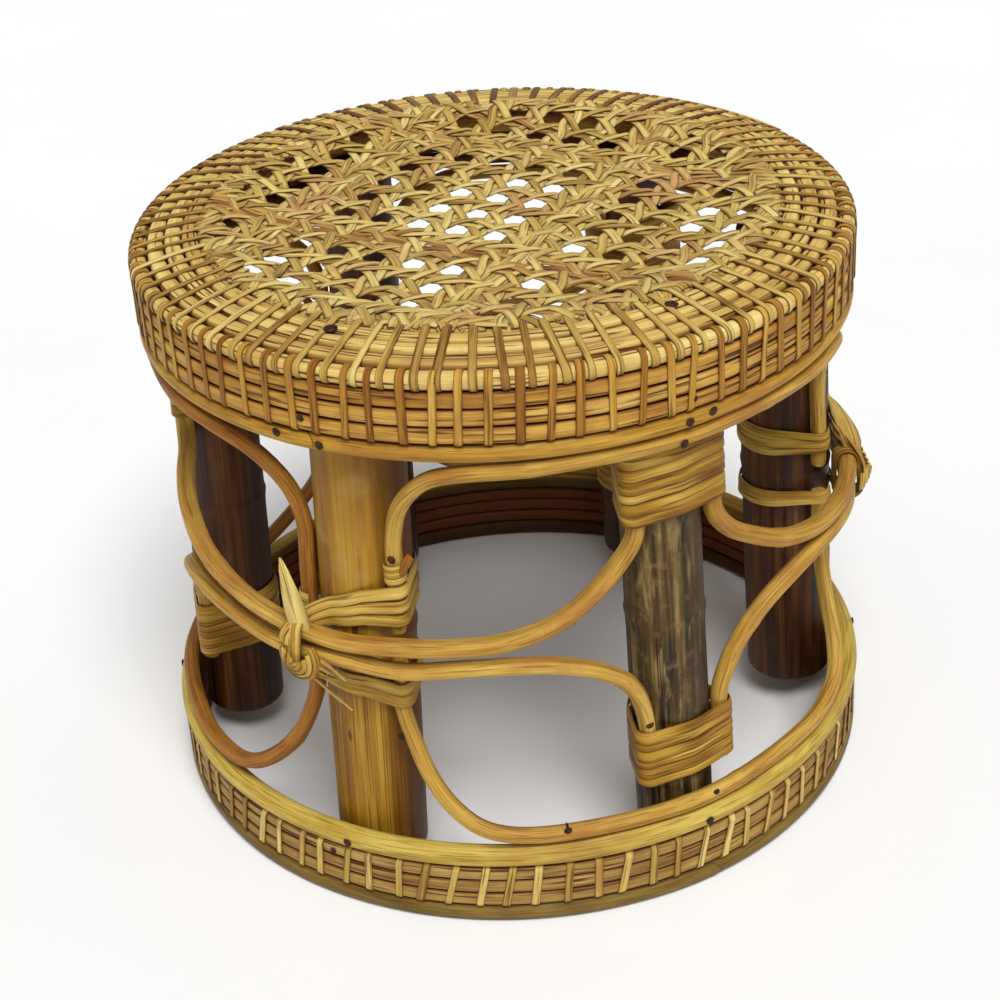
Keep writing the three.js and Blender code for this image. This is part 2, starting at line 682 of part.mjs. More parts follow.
// The garland and the lower arch run from binding leg to binding leg, across the knot leg between them.
function addBindingToBinding(number, leg) {
  const { upper, lower } = crossing(leg);
  const turn = legMiddle(leg, upper.height).turn;
  const addCane = (name, cane, place, endShares, pathShares, liftShares) => {
    const [first, last] = [-1, 1].map((step, half) => halfPath({
      leg: nextTo(leg, step), other: leg, cane, faceRadius: place.radius, endShares, pathShares,
      crossed: leg, lift: liftShares[half],
    }));
    const path = pathThrough([...first, onRing(turn, place.radius, place.height), ...last.reverse()]);
    addPiece(name, caneAlong(path, cane), hoopColour, poleRoughness);
    return path;
  };
  return {
    garland: addCane(`upper_garland_${number}`, garlandCane, upper, garlandEndShares, garlandPathShares,
      leg.garlandLiftShares),
    lowerArch: addCane(`lower_arch_${number}`, lowerArchCane, lower, lowerArchEndShares,
      lowerArchPathShares, leg.archLiftShares),
  };
}

addHoops();
addCoils();
addPanel();
legs.forEach(addLeg);
addNails();
legs.filter((leg) => !leg.knot).forEach((leg, index) => {
  addKnotToKnot(index + 1, leg);
  addBinding(`top_binding_${index + 1}`, leg, garlandCane, topBindingShares);
  addBinding(`bottom_binding_${index + 1}`, leg, lowerArchCane, bottomBindingShares);
});
legs.filter((leg) => leg.knot).forEach((leg, index) => {
  addKnot(index + 1, leg, addBindingToBinding(index + 1, leg));
});

export default stool;
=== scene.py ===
import math
import bpy
import numpy as np
from mathutils import Matrix, Vector


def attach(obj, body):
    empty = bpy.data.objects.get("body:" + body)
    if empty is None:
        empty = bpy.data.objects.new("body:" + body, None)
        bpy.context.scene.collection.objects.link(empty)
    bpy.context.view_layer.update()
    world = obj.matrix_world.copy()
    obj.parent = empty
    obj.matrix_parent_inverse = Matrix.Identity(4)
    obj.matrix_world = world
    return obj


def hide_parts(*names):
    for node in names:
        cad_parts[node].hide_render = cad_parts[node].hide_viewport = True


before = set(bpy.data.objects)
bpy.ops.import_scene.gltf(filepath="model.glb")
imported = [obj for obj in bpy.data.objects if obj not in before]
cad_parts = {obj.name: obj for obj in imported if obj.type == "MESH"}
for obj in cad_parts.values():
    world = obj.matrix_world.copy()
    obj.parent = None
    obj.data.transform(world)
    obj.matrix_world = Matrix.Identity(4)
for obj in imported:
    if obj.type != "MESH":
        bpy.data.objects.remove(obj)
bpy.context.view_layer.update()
print("frame loaded:", len(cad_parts), "nodes")

# Sizes of the stool in millimetres. A turn is an angle in degrees seen from above: 0 is the front, -Y, and
# 90 is +X.
stool = {
    "height": 296.0,
    "seatRadius": 174.5,
    "baseRadius": 182.4,
    "seatHoopPole": 9.2,
    "frameHoopPole": 12.0,
    "frameHoopInset": 20.5,
    "baseTopPole": 10.8,
    "baseFloorPole": 9.6,
    "floorCut": 0.5,
    "borderReed": 8.0,
    "wallReed": 8.0,
    "baseReed": 7.2,
    "borderTurns": 5,
    "wallTurns": 3,
    "baseTurns": 3,
    "reedGap": 0.5,
    "crownHeight": 5.0,
    "archCane": 8.2,
    "bowCane": 8.4,
    "garlandCane": 9.4,
    "lowerArchCane": 8.8,
    "besideTurn": 60,  # how far round a leg from its outer face the canes beside it lie
    "crossingShare": 0.524,  # where two canes cross a knot leg, as a share of the way from bows to arches
    "bandStrip": 1.3,  # the knot's bands pass under the crossing canes
    "bandSlack": 0.35,
    "panelDrop": 0.6,
    "fitGap": 0.3,
    "footHeight": 16.0,
    "facetLoss": math.cos(math.pi / 32),  # the middle of a facet lies this much nearer than its corners
}
legs = [
    {"name": "leg_front_left", "turn": -28.6, "lean": 1.4, "pole": 44.5, "knot": True,
     "garlandLift": (0.07, 0), "archLift": (0.01, 0)},
    {"name": "leg_front_right", "turn": 28.4, "lean": -1.2, "pole": 38.5, "knot": False},
    {"name": "leg_right", "turn": 90, "lean": 0, "pole": 46, "knot": True,
     "garlandLift": (0, 0), "archLift": (0.02, 0)},
    {"name": "leg_rear_right", "turn": 150, "lean": 0, "pole": 40, "knot": False},
    {"name": "leg_rear_left", "turn": 210, "lean": 0, "pole": 40, "knot": True,
     "garlandLift": (0, 0), "archLift": (0, 0)},
    {"name": "leg_left", "turn": 270, "lean": 0, "pole": 42, "knot": False},
]
upwards = np.array([0, 0, 1.0])
randomTurn = 6.28  # about a full turn in radians, for random phases
waveSpread = (0.75, 1.25)  # how much the lengths of random waves differ
wavePeak, ringPeak = 1.6, 1.8  # what random lines are divided by, to stay within about -1 to 1

# Heights and radii that follow from the sizes.
baseHoopRadius = stool["baseRadius"] - stool["baseTopPole"] / 2
floorHoopHeight = stool["baseFloorPole"] / 2 - stool["floorCut"]
baseCoilHeight = floorHoopHeight + stool["baseFloorPole"] / 2 + stool["fitGap"] + stool["baseReed"] / 2
baseReedStep = stool["baseReed"] + stool["reedGap"]
baseCoilTop = baseCoilHeight + (stool["baseTurns"] - 1) * baseReedStep + stool["baseReed"] / 2
baseTopHeight = baseCoilTop + stool["fitGap"] + stool["baseTopPole"] / 2
bowHeight = baseTopHeight + stool["baseTopPole"] / 2 + stool["fitGap"] + stool["bowCane"] / 2
reedRadius = stool["seatRadius"] - stool["wallReed"] / 2
shoulderHeight = stool["height"] - stool["crownHeight"] - stool["borderReed"] / 2
wallReedStep = stool["wallReed"] + stool["reedGap"]
borderReedStep = stool["borderReed"] + stool["reedGap"]
wallTopHeight = shoulderHeight - stool["borderReed"] / 2 - stool["fitGap"] - stool["wallReed"] / 2
wallHeight = wallTopHeight - (stool["wallTurns"] - 1) * wallReedStep
seatHoopHeight = wallHeight - stool["wallReed"] / 2 - stool["fitGap"] - stool["seatHoopPole"] / 2
archHeight = seatHoopHeight - stool["seatHoopPole"] / 2 - stool["fitGap"] - stool["archCane"] / 2


# A point on a ring round the stool's axis: x is the radius times the turn's sine, and y is the radius times
# its cosine, towards the front.
def onRing(turn, radius, height):
    angle, radius, height = np.broadcast_arrays(np.radians(turn), radius, height)
    return np.stack([radius * np.sin(angle), -radius * np.cos(angle), height], -1)


# The border rises inwards along a quarter of a sine wave, from the shoulder to its innermost turn.
def borderHeight(radius):
    share = (reedRadius - radius) / ((stool["borderTurns"] - 1) * borderReedStep)
    return shoulderHeight + stool["crownHeight"] * np.sin(np.clip(share, 0, 1) * math.pi / 2)


frameHoopRadius = reedRadius - stool["frameHoopInset"]
frameHoopTop = float(borderHeight(frameHoopRadius)) - stool["borderReed"] / 2 - stool["fitGap"]
frameHoopHeight = frameHoopTop - stool["frameHoopPole"] / 2
legTop = frameHoopHeight - stool["frameHoopPole"] / 2 - stool["fitGap"]
weaveHeight = float(borderHeight(0)) - stool["panelDrop"]


# The height of a share of the way from the bows up to the arches.
def heightOf(share):
    return bowHeight + (archHeight - bowHeight) * share


# The turn and radius of a leg's middle at a height: its outer side touches both hoops that it is nailed to.
def legMiddle(leg, height):
    share = (height - baseTopHeight) / (seatHoopHeight - baseTopHeight)
    low = (baseHoopRadius - stool["baseTopPole"] / 2) * stool["facetLoss"]
    high = (reedRadius - stool["seatHoopPole"] / 2) * stool["facetLoss"]
    radius = low + (high - low) * share - stool["fitGap"] - leg["pole"] / 2
    return leg["turn"] + leg["lean"] * share, radius


# The turn and radius where a cane touches the side of a leg. Their middles lie half of both thicknesses and
# a gap apart, in a direction that is turned from straight outwards towards that side.
def besideLeg(leg, cane, side, height):
    turn, radius = legMiddle(leg, height)
    reach = (leg["pole"] + cane) / 2 + stool["fitGap"]
    out = radius + reach * math.cos(math.radians(stool["besideTurn"]))
    across = side * reach * math.sin(math.radians(stool["besideTurn"]))
    return turn + math.degrees(math.atan2(across, out)), math.hypot(out, across)


# The same place as a point.
def pointBeside(leg, cane, side, height):
    turn, radius = besideLeg(leg, cane, side, height)
    return onRing(turn, radius, height)


# The neighbour of a leg, with its turn counted on past a full circle.
def nextTo(leg, step):
    rounds, index = divmod(legs.index(leg) + step, len(legs))
    return {**legs[index], "turn": legs[index]["turn"] + 360 * rounds}


# Rises from 0 to 1 at three quarters of the way, and falls to 0 at its end: the cube of the way along times
# the way that is left, scaled by its peak.
def swell(along):
    return along ** 3 * (1 - along) * 256 / 27


# Half of a bent cane: the points held beside its leg, then the free points between that leg and the next.
# Each row of path holds how far along the turn, up and outwards a free point lies, as shares. On a span
# that crosses a knot leg the free points run from that leg back to the held ones, and lift raises them.
def halfPath(leg, other, cane, faceRadius, ends, path, crossed=None, lift=0):
    side = math.copysign(1, other["turn"] - leg["turn"])
    held = [pointBeside(leg, cane, side, heightOf(share)) for share in ends]
    fromTurn, fromRadius = besideLeg(leg, cane, side, heightOf(ends[-1]))
    toTurn = besideLeg(other, cane, -side, heightOf(ends[-1]))[0]
    if crossed:
        fromTurn, toTurn = legMiddle(crossed, heightOf(stool["crossingShare"]))[0], fromTurn
    free = []
    for along, up, outwards in path:
        radius = fromRadius + (faceRadius - fromRadius) * outwards
        height = heightOf(up + lift * swell(along))
        free.append(onRing(fromTurn + (toTurn - fromTurn) * along, radius, height))
    return held[::-1] + free[::-1] if crossed else held + free


# Spreads points evenly along a line by its length.
def evenly(line, rows):
    along = np.concatenate([[0], np.cumsum(np.linalg.norm(np.diff(line, axis=0), axis=-1))])
    wanted = np.linspace(0, along[-1], rows)
    return np.stack([np.interp(wanted, along, line[:, axis]) for axis in range(3)], -1)


# A smooth line through all its points: each span is a cubic whose end slopes come from its neighbours,
# weighted by the square root of the spans' lengths.
def smoothLine(points, rows, spanRows=33):
    knots = np.asarray(points, float)
    knots = np.vstack([2 * knots[0] - knots[1], knots, 2 * knots[-1] - knots[-2]])
    weight = np.sum(np.diff(knots, axis=0) ** 2, -1) ** 0.25
    share = np.linspace(0, 1, spanRows)[:-1, None]
    spans = []
    for index in range(1, len(knots) - 2):
        before, here, after = weight[index - 1:index + 2]
        first, start, end, last = knots[index - 1:index + 3]
        leaving = ((start - first) / before - (end - first) / (before + here) + (end - start) / here) * here
        arriving = ((end - start) / here - (last - start) / (here + after) + (last - end) / after) * here
        square = 3 * (end - start) - 2 * leaving - arriving
        cube = 2 * (start - end) + leaving + arriving
        spans.append(start + leaving * share + square * share ** 2 + cube * share ** 3)
    return evenly(np.vstack(spans + [knots[-2:-1]]), rows)


# A cubic curve from one point to another, leaving and arriving along the given slopes.
def bridge(start, leaving, end, arriving, rows=18):
    share = np.linspace(0, 1, rows, endpoint=False)[:, None]
    return (2 * share ** 3 - 3 * share ** 2 + 1) * start + (share ** 3 - 2 * share ** 2 + share) * leaving \
        + (3 * share ** 2 - 2 * share ** 3) * end + (share ** 3 - share ** 2) * arriving


# Rises smoothly from 0 to 1: three times the square less twice the cube.
def ease(share):
    return share * share * (3 - 2 * share)


# A smooth random line within about -1 to 1: sine waves of falling height with random phases.
def wander(along, rng, length, waves=5):
    total = np.zeros_like(np.asarray(along, float))
    for wave in range(1, waves + 1):
        around = 2 * math.pi * along * wave * rng.uniform(*waveSpread) / length
        total += np.sin(around + rng.uniform(0, randomTurn)) / wave
    return total / wavePeak


# The same round a closed ring, with whole numbers of waves.
def ringWander(turn, rng, waves=(2, 3, 5, 7, 11)):
    total = np.zeros_like(np.asarray(turn, float))
    for wave in waves:
        total += np.sin(np.radians(turn) * wave + rng.uniform(0, randomTurn)) / math.sqrt(wave)
    return total / ringPeak


# A circle of points outwards and sideways, for the sections of poles and canes, and their angles.
def circle(sides):
    angle = np.linspace(0, 2 * math.pi, sides, endpoint=False)
    return angle, np.stack([np.cos(angle), np.sin(angle)], -1)


# A reed's section: a circle whose sides are pushed out towards a square, so that neighbours nearly touch.
# Cosine and sine keep their signs and are raised to a power below 1.
def reedSection(radius, sides, square):
    wave = circle(sides)[1]
    return np.sign(wave) * np.abs(wave) ** square[:, None, None] * radius[:, None, None]


# A flat strip's section: a slightly bowed top face and a flat underside. Rows are points outwards and
# sideways.
def stripSection(width, thickness, bow=0.15, bevels=(0.2, 0.3)):
    side = np.linspace(-1, 1, 3)
    top = np.stack([thickness / 2 + bow * (1 - side ** 2), side * (width / 2 - bevels[0])], -1)
    under = width / 2 - bevels[1]
    edge = [[0, width / 2], [-thickness / 2, under], [-thickness / 2, -under], [0, -width / 2]]
    return np.vstack([top, edge])


# Carries a section along lines. A section's points lie outwards and sideways from the line, square to its
# run. Gives the points and, for the grain, how far along, outwards and sideways each of them lies.
def carry(lines, outs, section):
    lines = np.asarray(lines, float)
    ahead = np.gradient(lines, axis=-2)
    ahead = ahead / np.linalg.norm(ahead, axis=-1, keepdims=True)
    side = np.cross(ahead, np.broadcast_to(outs, lines.shape))
    side = side / np.linalg.norm(side, axis=-1, keepdims=True)
    out = np.cross(side, ahead)
    across = side[..., None, :] * section[..., 1:]
    points = lines[..., None, :] + out[..., None, :] * section[..., :1] + across
    step = np.linalg.norm(np.diff(lines, axis=-2), axis=-1)
    along = np.concatenate([np.zeros(step.shape[:-1] + (1,)), np.cumsum(step, -1)], -1)
    grain = np.stack(np.broadcast_arrays(along[..., None], section[..., 0], section[..., 1]), -1)
    return points, grain


# One or more skins of the same make: points is items x rows x columns x 3. trait holds for each point how
# near it is to a strip's edge, the tint of its strand, and how much painted shade it gets, from 0 to 1.
def skin(points, grain, rng, strip=False, edge=0.0, tint=None, shade=0.0):
    shape = (-1,) + points.shape[-3:]
    flat = np.zeros(points.shape[:-1])
    edge, shade = (np.reshape(value + flat, shape[:-1]) for value in (edge, shade))
    points, grain = points.reshape(shape), grain.reshape(shape)
    items = points.shape[0]
    # A strip's edge trait later lays painted shadow lines along its edges.
    if strip:
        sideways = np.abs(grain[..., 2])
        edge = sideways / np.max(sideways, axis=(1, 2), keepdims=True)
    if tint is None:
        tint = rng.uniform(-1, 1, (items, 1, 1))
    tint = np.reshape(tint + np.zeros(points.shape[:-1]), shape[:-1])
    shifted = grain / 1000 + rng.uniform(0, 3, (items, 1, 1, 3))
    return {"points": points, "grain": shifted, "trait": np.stack([edge, tint, shade], -1)}


# How much painted shade a point of a round section gets in the crevices beside it: none within a spread
# of degrees round the open side, which sees the light, then more and more. The open side is an angle up
# from straight outwards.
def creviceShade(grain, openSide, spread, soft=28):
    angle = np.degrees(np.arctan2(-grain[..., 2], grain[..., 1]))
    away = np.abs((angle - openSide + 180) % 360 - 180)
    return np.clip((away - spread) / soft, 0, 1)


# The faces of one skin: a quad from each row and column to the next, and fans that close its two ends.
def skinFaces(rows, columns):
    row, column = np.arange(rows - 1)[:, None] * columns, np.arange(columns)
    beside = (column + 1) % columns
    after = row + columns
    quads = np.stack(np.broadcast_arrays(row + column, row + beside, after + beside, after + column), -1)
    last = (rows - 1) * columns
    start = np.stack([np.full(columns, rows * columns), beside, column], -1)
    end = np.stack([np.full(columns, rows * columns + 1), last + column, last + beside], -1)
    return quads.reshape(-1, 4), np.vstack([start, end])


# The signed volume under each item's faces: a sixth of the sum of the corners' triple products.
def triangleVolume(points, faces):
    first, second, third = (points[:, faces[:, corner]] for corner in range(3))
    return np.einsum("kfi,kfi->k", first, np.cross(second, third)) / 6


# Makes one object of skins, in metres, rides it on the stool and hides the CAD nodes that it stands for.
# Each item gets two more points in the middles of its ends, and a skin whose volume comes out negative is
# turned round.
def addPiece(name, parts, material, nodes=(), sharp=48):
    made = {"points": [], "grain": [], "trait": []}
    quads, fans, count = [], [], 0
    for part in parts:
        items, rows, columns = part["points"].shape[:3]
        quad, fan = skinFaces(rows, columns)
        for key, store in made.items():
            flat = part[key].reshape(items, rows * columns, 3)
            flat = np.concatenate([flat, part[key][:, :1].mean(2), part[key][:, -1:].mean(2)], 1)
            store.append(flat.reshape(-1, 3))
        corners = made["points"][-1].reshape(items, -1, 3)
        middle = corners - corners.mean(1, keepdims=True)
        faces = np.vstack([quad[:, :3], quad[:, [0, 2, 3]], fan])
        inward = (triangleVolume(middle, faces) < 0)[:, None, None]
        offset = count + (np.arange(items) * corners.shape[1])[:, None, None]
        quads.append((np.where(inward, quad[None, :, ::-1], quad[None]) + offset).reshape(-1, 4))
        fans.append((np.where(inward, fan[None, :, ::-1], fan[None]) + offset).reshape(-1, 3))
        count += items * corners.shape[1]
    quads, fans = np.vstack(quads), np.vstack(fans)
    mesh = bpy.data.meshes.new(name)
    mesh.vertices.add(count)
    mesh.vertices.foreach_set("co", (np.vstack(made["points"]) / 1000).astype(np.float32).ravel())
    mesh.loops.add(quads.size + fans.size)
    corners = np.concatenate([quads.ravel(), fans.ravel()])
    mesh.loops.foreach_set("vertex_index", corners.astype(np.int32))
    mesh.polygons.add(len(quads) + len(fans))
    starts = np.concatenate([np.arange(len(quads)) * 4, quads.size + np.arange(len(fans)) * 3])
    mesh.polygons.foreach_set("loop_start", starts.astype(np.int32))
    mesh.update(calc_edges=True)
    mesh.validate()
    for label in ("grain", "trait"):
        attribute = mesh.attributes.new(label, "FLOAT_VECTOR", "POINT")
        attribute.data.foreach_set("vector", np.vstack(made[label]).astype(np.float32).ravel())
    mesh.set_sharp_from_angle(angle=math.radians(sharp))
    mesh.materials.append(material)
    piece = bpy.data.objects.new(name, mesh)
    bpy.context.scene.collection.objects.link(piece)
    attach(piece, "root")
    if nodes:
        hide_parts(*nodes)


print("helpers ready")


# Camera: the photograph's view, found from the two rings and the seat outline. focal and centre are pixels
# of a square frame, the other lengths are metres.
cameraLook = {"elevation": 29.843, "roll": -3.576, "distance": 1.096697, "aim": 0.145,
              "focal": 2112.755, "centre": (506.91, 471.04), "frame": 1000}


# The camera looks at the stool's axis from the front and above, turned a little round its own line of
# sight.
def addCamera():
    tilt, roll = math.radians(cameraLook["elevation"]), math.radians(cameraLook["roll"])
    right, up = np.array([1.0, 0, 0]), np.array([0, math.sin(tilt), math.cos(tilt)])
    back = np.array([0, -math.cos(tilt), math.sin(tilt)])
    matrix = np.eye(4)
    matrix[:3, 0] = right * math.cos(roll) + up * math.sin(roll)
    matrix[:3, 1] = up * math.cos(roll) - right * math.sin(roll)
    matrix[:3, 2] = back
    matrix[:3, 3] = np.array([0, 0, cameraLook["aim"]]) + back * cameraLook["distance"]
    data = bpy.data.cameras.new("camera")
    data.lens = data.sensor_width * cameraLook["focal"] / cameraLook["frame"]
    data.shift_x = (cameraLook["frame"] / 2 - cameraLook["centre"][0]) / cameraLook["frame"]
    data.shift_y = (cameraLook["centre"][1] - cameraLook["frame"] / 2) / cameraLook["frame"]
    camera = bpy.data.objects.new("camera", data)
    camera.matrix_world = Matrix(matrix.tolist())
    bpy.context.scene.collection.objects.link(camera)
    bpy.context.scene.camera = camera


addCamera()


# Adds a node to a tree and sets or links its inputs.
def node(tree, kind, inputs=None, **settings):
    made = tree.nodes.new(kind)
    for key, value in settings.items():
        setattr(made, key, value)
    for key, value in (inputs or {}).items():
        socket = made.inputs[key]
        if isinstance(value, bpy.types.NodeSocket):
            tree.links.new(value, socket)
        else:
            socket.default_value = value
    return made


# A screen colour, 0 to 255, as linear light: a power curve with a straight foot.
def colour(red, green, blue):
    shares = [tone / 255 for tone in (red, green, blue)]
    linear = [share / 12.92 if share < 0.04 else ((share + 0.055) / 1.055) ** 2.4 for share in shares]
    return (*linear, 1.0)


# A colour ramp from rows of place, red, green and blue.
def ramp(tree, value, stops):
    made = node(tree, "ShaderNodeValToRGB", {"Fac": value})
    while len(made.color_ramp.elements) < len(stops):
        made.color_ramp.elements.new(0.5)
    for element, (place, *tone) in zip(made.color_ramp.elements, stops):
        element.position = place
        element.color = colour(*tone)
    return made.outputs["Color"]


# The first colour where the factor is 0, the second where it is 1, and a blend of both between.
def mix(tree, factor, first, second):
    made = node(tree, "ShaderNodeMix", data_type="RGBA")
    for index, value in ((0, factor), (6, first), (7, second)):
        if isinstance(value, bpy.types.NodeSocket):
            tree.links.new(value, made.inputs[index])
        else:
            made.inputs[index].default_value = value
    return made.outputs[2]


# One sum, product or power of two values.
def maths(tree, operation, first, second=0.0, clamp=False):
    made = node(tree, "ShaderNodeMath", {0: first, 1: second}, operation=operation)
    made.use_clamp = clamp
    return made.outputs[0]


# A tone laid over another by a mask times a strength.
def overlay(tree, mask, strength, tone, laid, clamp=False):
    return mix(tree, maths(tree, "MULTIPLY", mask, strength, clamp), tone, colour(*laid))


# A value carried from one range into another, and kept within it.
def remap(tree, value, fromLow, fromHigh, toLow=0.0, toHigh=1.0):
    made = node(tree, "ShaderNodeMapRange", {"Value": value, "From Min": fromLow, "From Max": fromHigh,
                                            "To Min": toLow, "To Max": toHigh})
    return made.outputs["Result"]


# A new group with named value inputs, and its entry and leaving nodes.
def newGroup(name, vectors, values, result):
    tree = bpy.data.node_groups.new(name, "ShaderNodeTree")
    for labels, kind in ((vectors, "NodeSocketVector"), (values, "NodeSocketFloat")):
        for label in labels:
            tree.interface.new_socket(label, in_out="INPUT", socket_type=kind)
    tree.interface.new_socket(result, in_out="OUTPUT", socket_type="NodeSocketFloat")
    return tree, tree.nodes.new("NodeGroupInput"), tree.nodes.new("NodeGroupOutput")


# Long streaks: noise on the grain's own coordinates, drawn out along the strand.
def makeStreakGroup():
    tree, entry, leave = newGroup("longGrain", ("Grain",), ("Along", "Across", "Detail"), "Streak")
    scale = node(tree, "ShaderNodeCombineXYZ", {"X": entry.outputs["Along"], "Y": entry.outputs["Across"],
                                               "Z": entry.outputs["Across"]})
    drawn = node(tree, "ShaderNodeVectorMath", {0: entry.outputs["Grain"], 1: scale.outputs[0]},
                 operation="MULTIPLY")
    noise = node(tree, "ShaderNodeTexNoise", {"Vector": drawn.outputs[0], "Scale": 1.0,
                                             "Detail": entry.outputs["Detail"], "Roughness": 0.6})
    tree.links.new(noise.outputs["Fac"], leave.inputs["Streak"])
    return tree


# Soft patches: noise in the stool's own space, spread between a low and a high value.
def makePatchGroup():
    tree, entry, leave = newGroup("softPatches", (), ("Size", "Low", "High"), "Mask")
    place = node(tree, "ShaderNodeTexCoord")
    inputs = {"Vector": place.outputs["Object"], "Scale": entry.outputs["Size"]}
    noise = node(tree, "ShaderNodeTexNoise", {**inputs, "Detail": 4.0, "Roughness": 0.55})
    mask = remap(tree, noise.outputs["Fac"], entry.outputs["Low"], entry.outputs["High"])
    tree.links.new(mask, leave.inputs["Mask"])
    return tree


streakGroup, patchGroup = makeStreakGroup(), makePatchGroup()


# Streaks with a number of waves per metre along the strand and across it.
def streaks(tree, along, across, detail=3.0):
    grain = node(tree, "ShaderNodeAttribute", attribute_name="grain")
    inputs = {"Grain": grain.outputs["Vector"], "Along": along, "Across": across, "Detail": detail}
    return node(tree, "ShaderNodeGroup", inputs, node_tree=streakGroup).outputs["Streak"]


# Patches with a number of waves per metre, none below low and full above high.
def patches(tree, size, low, high):
    inputs = {"Size": size, "Low": low, "High": high}
    return node(tree, "ShaderNodeGroup", inputs, node_tree=patchGroup).outputs["Mask"]


# The edge, tint and shade of a strand.
def traits(tree):
    trait = node(tree, "ShaderNodeAttribute", attribute_name="trait")
    parts = node(tree, "ShaderNodeSeparateXYZ", {0: trait.outputs["Vector"]})
    return parts.outputs[0], parts.outputs[1], parts.outputs[2]


# A material, its tree and its shader.
def newMaterial(name):
    material = bpy.data.materials.new(name)
    material.use_nodes = True
    tree = material.node_tree
    return material, tree, tree.nodes["Principled BSDF"]


# Sets a shader's colour, roughness, gloss and bump. Distance is in metres.
def finishMaterial(tree, shader, tone, roughness, gloss=0.5, height=None, distance=0.0003, strength=0.7):
    tree.links.new(tone, shader.inputs["Base Color"])
    if isinstance(roughness, bpy.types.NodeSocket):
        tree.links.new(roughness, shader.inputs["Roughness"])
    else:
        shader.inputs["Roughness"].default_value = roughness
    shader.inputs["Specular IOR Level"].default_value = gloss
    if height is not None:
        bump = node(tree, "ShaderNodeBump", {"Height": height, "Distance": distance, "Strength": strength})
        tree.links.new(bump.outputs["Normal"], shader.inputs["Normal"])


# A sum of streaks, each times its strength, that stays about a half on average.
def spreadOf(tree, parts):
    terms = [maths(tree, "MULTIPLY", value, strength) for value, strength, level in parts]
    spread = terms[0]
    for term in terms[1:]:
        spread = maths(tree, "ADD", spread, term)
    levels = [strength for value, strength, level in parts if level]
    return maths(tree, "ADD", spread, 0.5 - 0.5 * sum(levels))


# Masks and finishes that all strands and poles share: ranges of noise, and the strength of a few fixed
# marks, among them the painted shadow of the seat on a leg's head.
grainLook = {
    "stainRange": (0.5, 0.7), "fibreRange": (0.58, 0.68), "roughRange": (0.3, 0.7), "fibreDepth": 0.8,
    "poleStainRange": (0.46, 0.7), "paleRange": (0.55, 0.72), "paleSize": 2.7, "lineRange": (0.5, 0.66),
    "fleckAlong": 30.0, "fleckAcross": 190.0, "fleckRange": (0.56, 0.66), "smoothFibre": 0.3,
    "spotAlong": 60.0, "spotAcross": 130.0, "spotSoft": 0.02, "spot": 0.85, "headShade": 0.8,
    "poleGloss": 0.25, "skinRough": (-0.08, 0.1), "poleRough": (-0.08, 0.12),
}


# Broad streaks make the skin a little smoother or rougher than its middle value.
def roughness(tree, broad, middle, spread):
    return remap(tree, broad, *grainLook["roughRange"], middle + spread[0], middle + spread[1])


# A satin skin with long grain, for canes, reeds and strips. look gives its tones, from dark to light, and
# how strong its patches, painted edge shadows, streaks and fibres are. Painted shade makes crevices dark
# and red-brown.
def makeSkin(name, look):
    material, tree, shader = newMaterial(name)
    edge, tint, shade = traits(tree)
    broad = streaks(tree, look["broadAlong"], look["broadAcross"])
    fine = streaks(tree, look["fineAlong"], look["fineAcross"], 2.0)
    parts = (broad, look["broad"], True), (fine, look["fine"], True), (tint, look["tint"], False)
    spread = spreadOf(tree, parts)
    tone = ramp(tree, spread, look["tones"])
    stain = patches(tree, look["patchSize"], *grainLook["stainRange"])
    tone = overlay(tree, stain, look["patch"], tone, look["patchTone"])
    fibre = streaks(tree, look["fibreAlong"], look["fibreAcross"], 1.0)
    fibre = remap(tree, fibre, *grainLook["fibreRange"])
    tone = overlay(tree, fibre, look["fibre"], tone, look["darkTone"])
    # Painted shadow lines along strips' edges: the edge trait to a power lays the dark tone there.
    rim = maths(tree, "POWER", edge, look["edgePower"])
    tone = overlay(tree, rim, look["edge"], tone, look["darkTone"])
    # Painted shade in crevices, grooves and tucked ends, by the shade trait, in the crevice tone.
    tone = overlay(tree, shade, look["shade"], tone, look["creviceShadeTone"])
    rough = roughness(tree, broad, look["rough"], grainLook["skinRough"])
    height = maths(tree, "SUBTRACT", fine, maths(tree, "MULTIPLY", fibre, grainLook["fibreDepth"]))
    finishMaterial(tree, shader, tone, rough, look["gloss"], height, look["depth"])
    return material
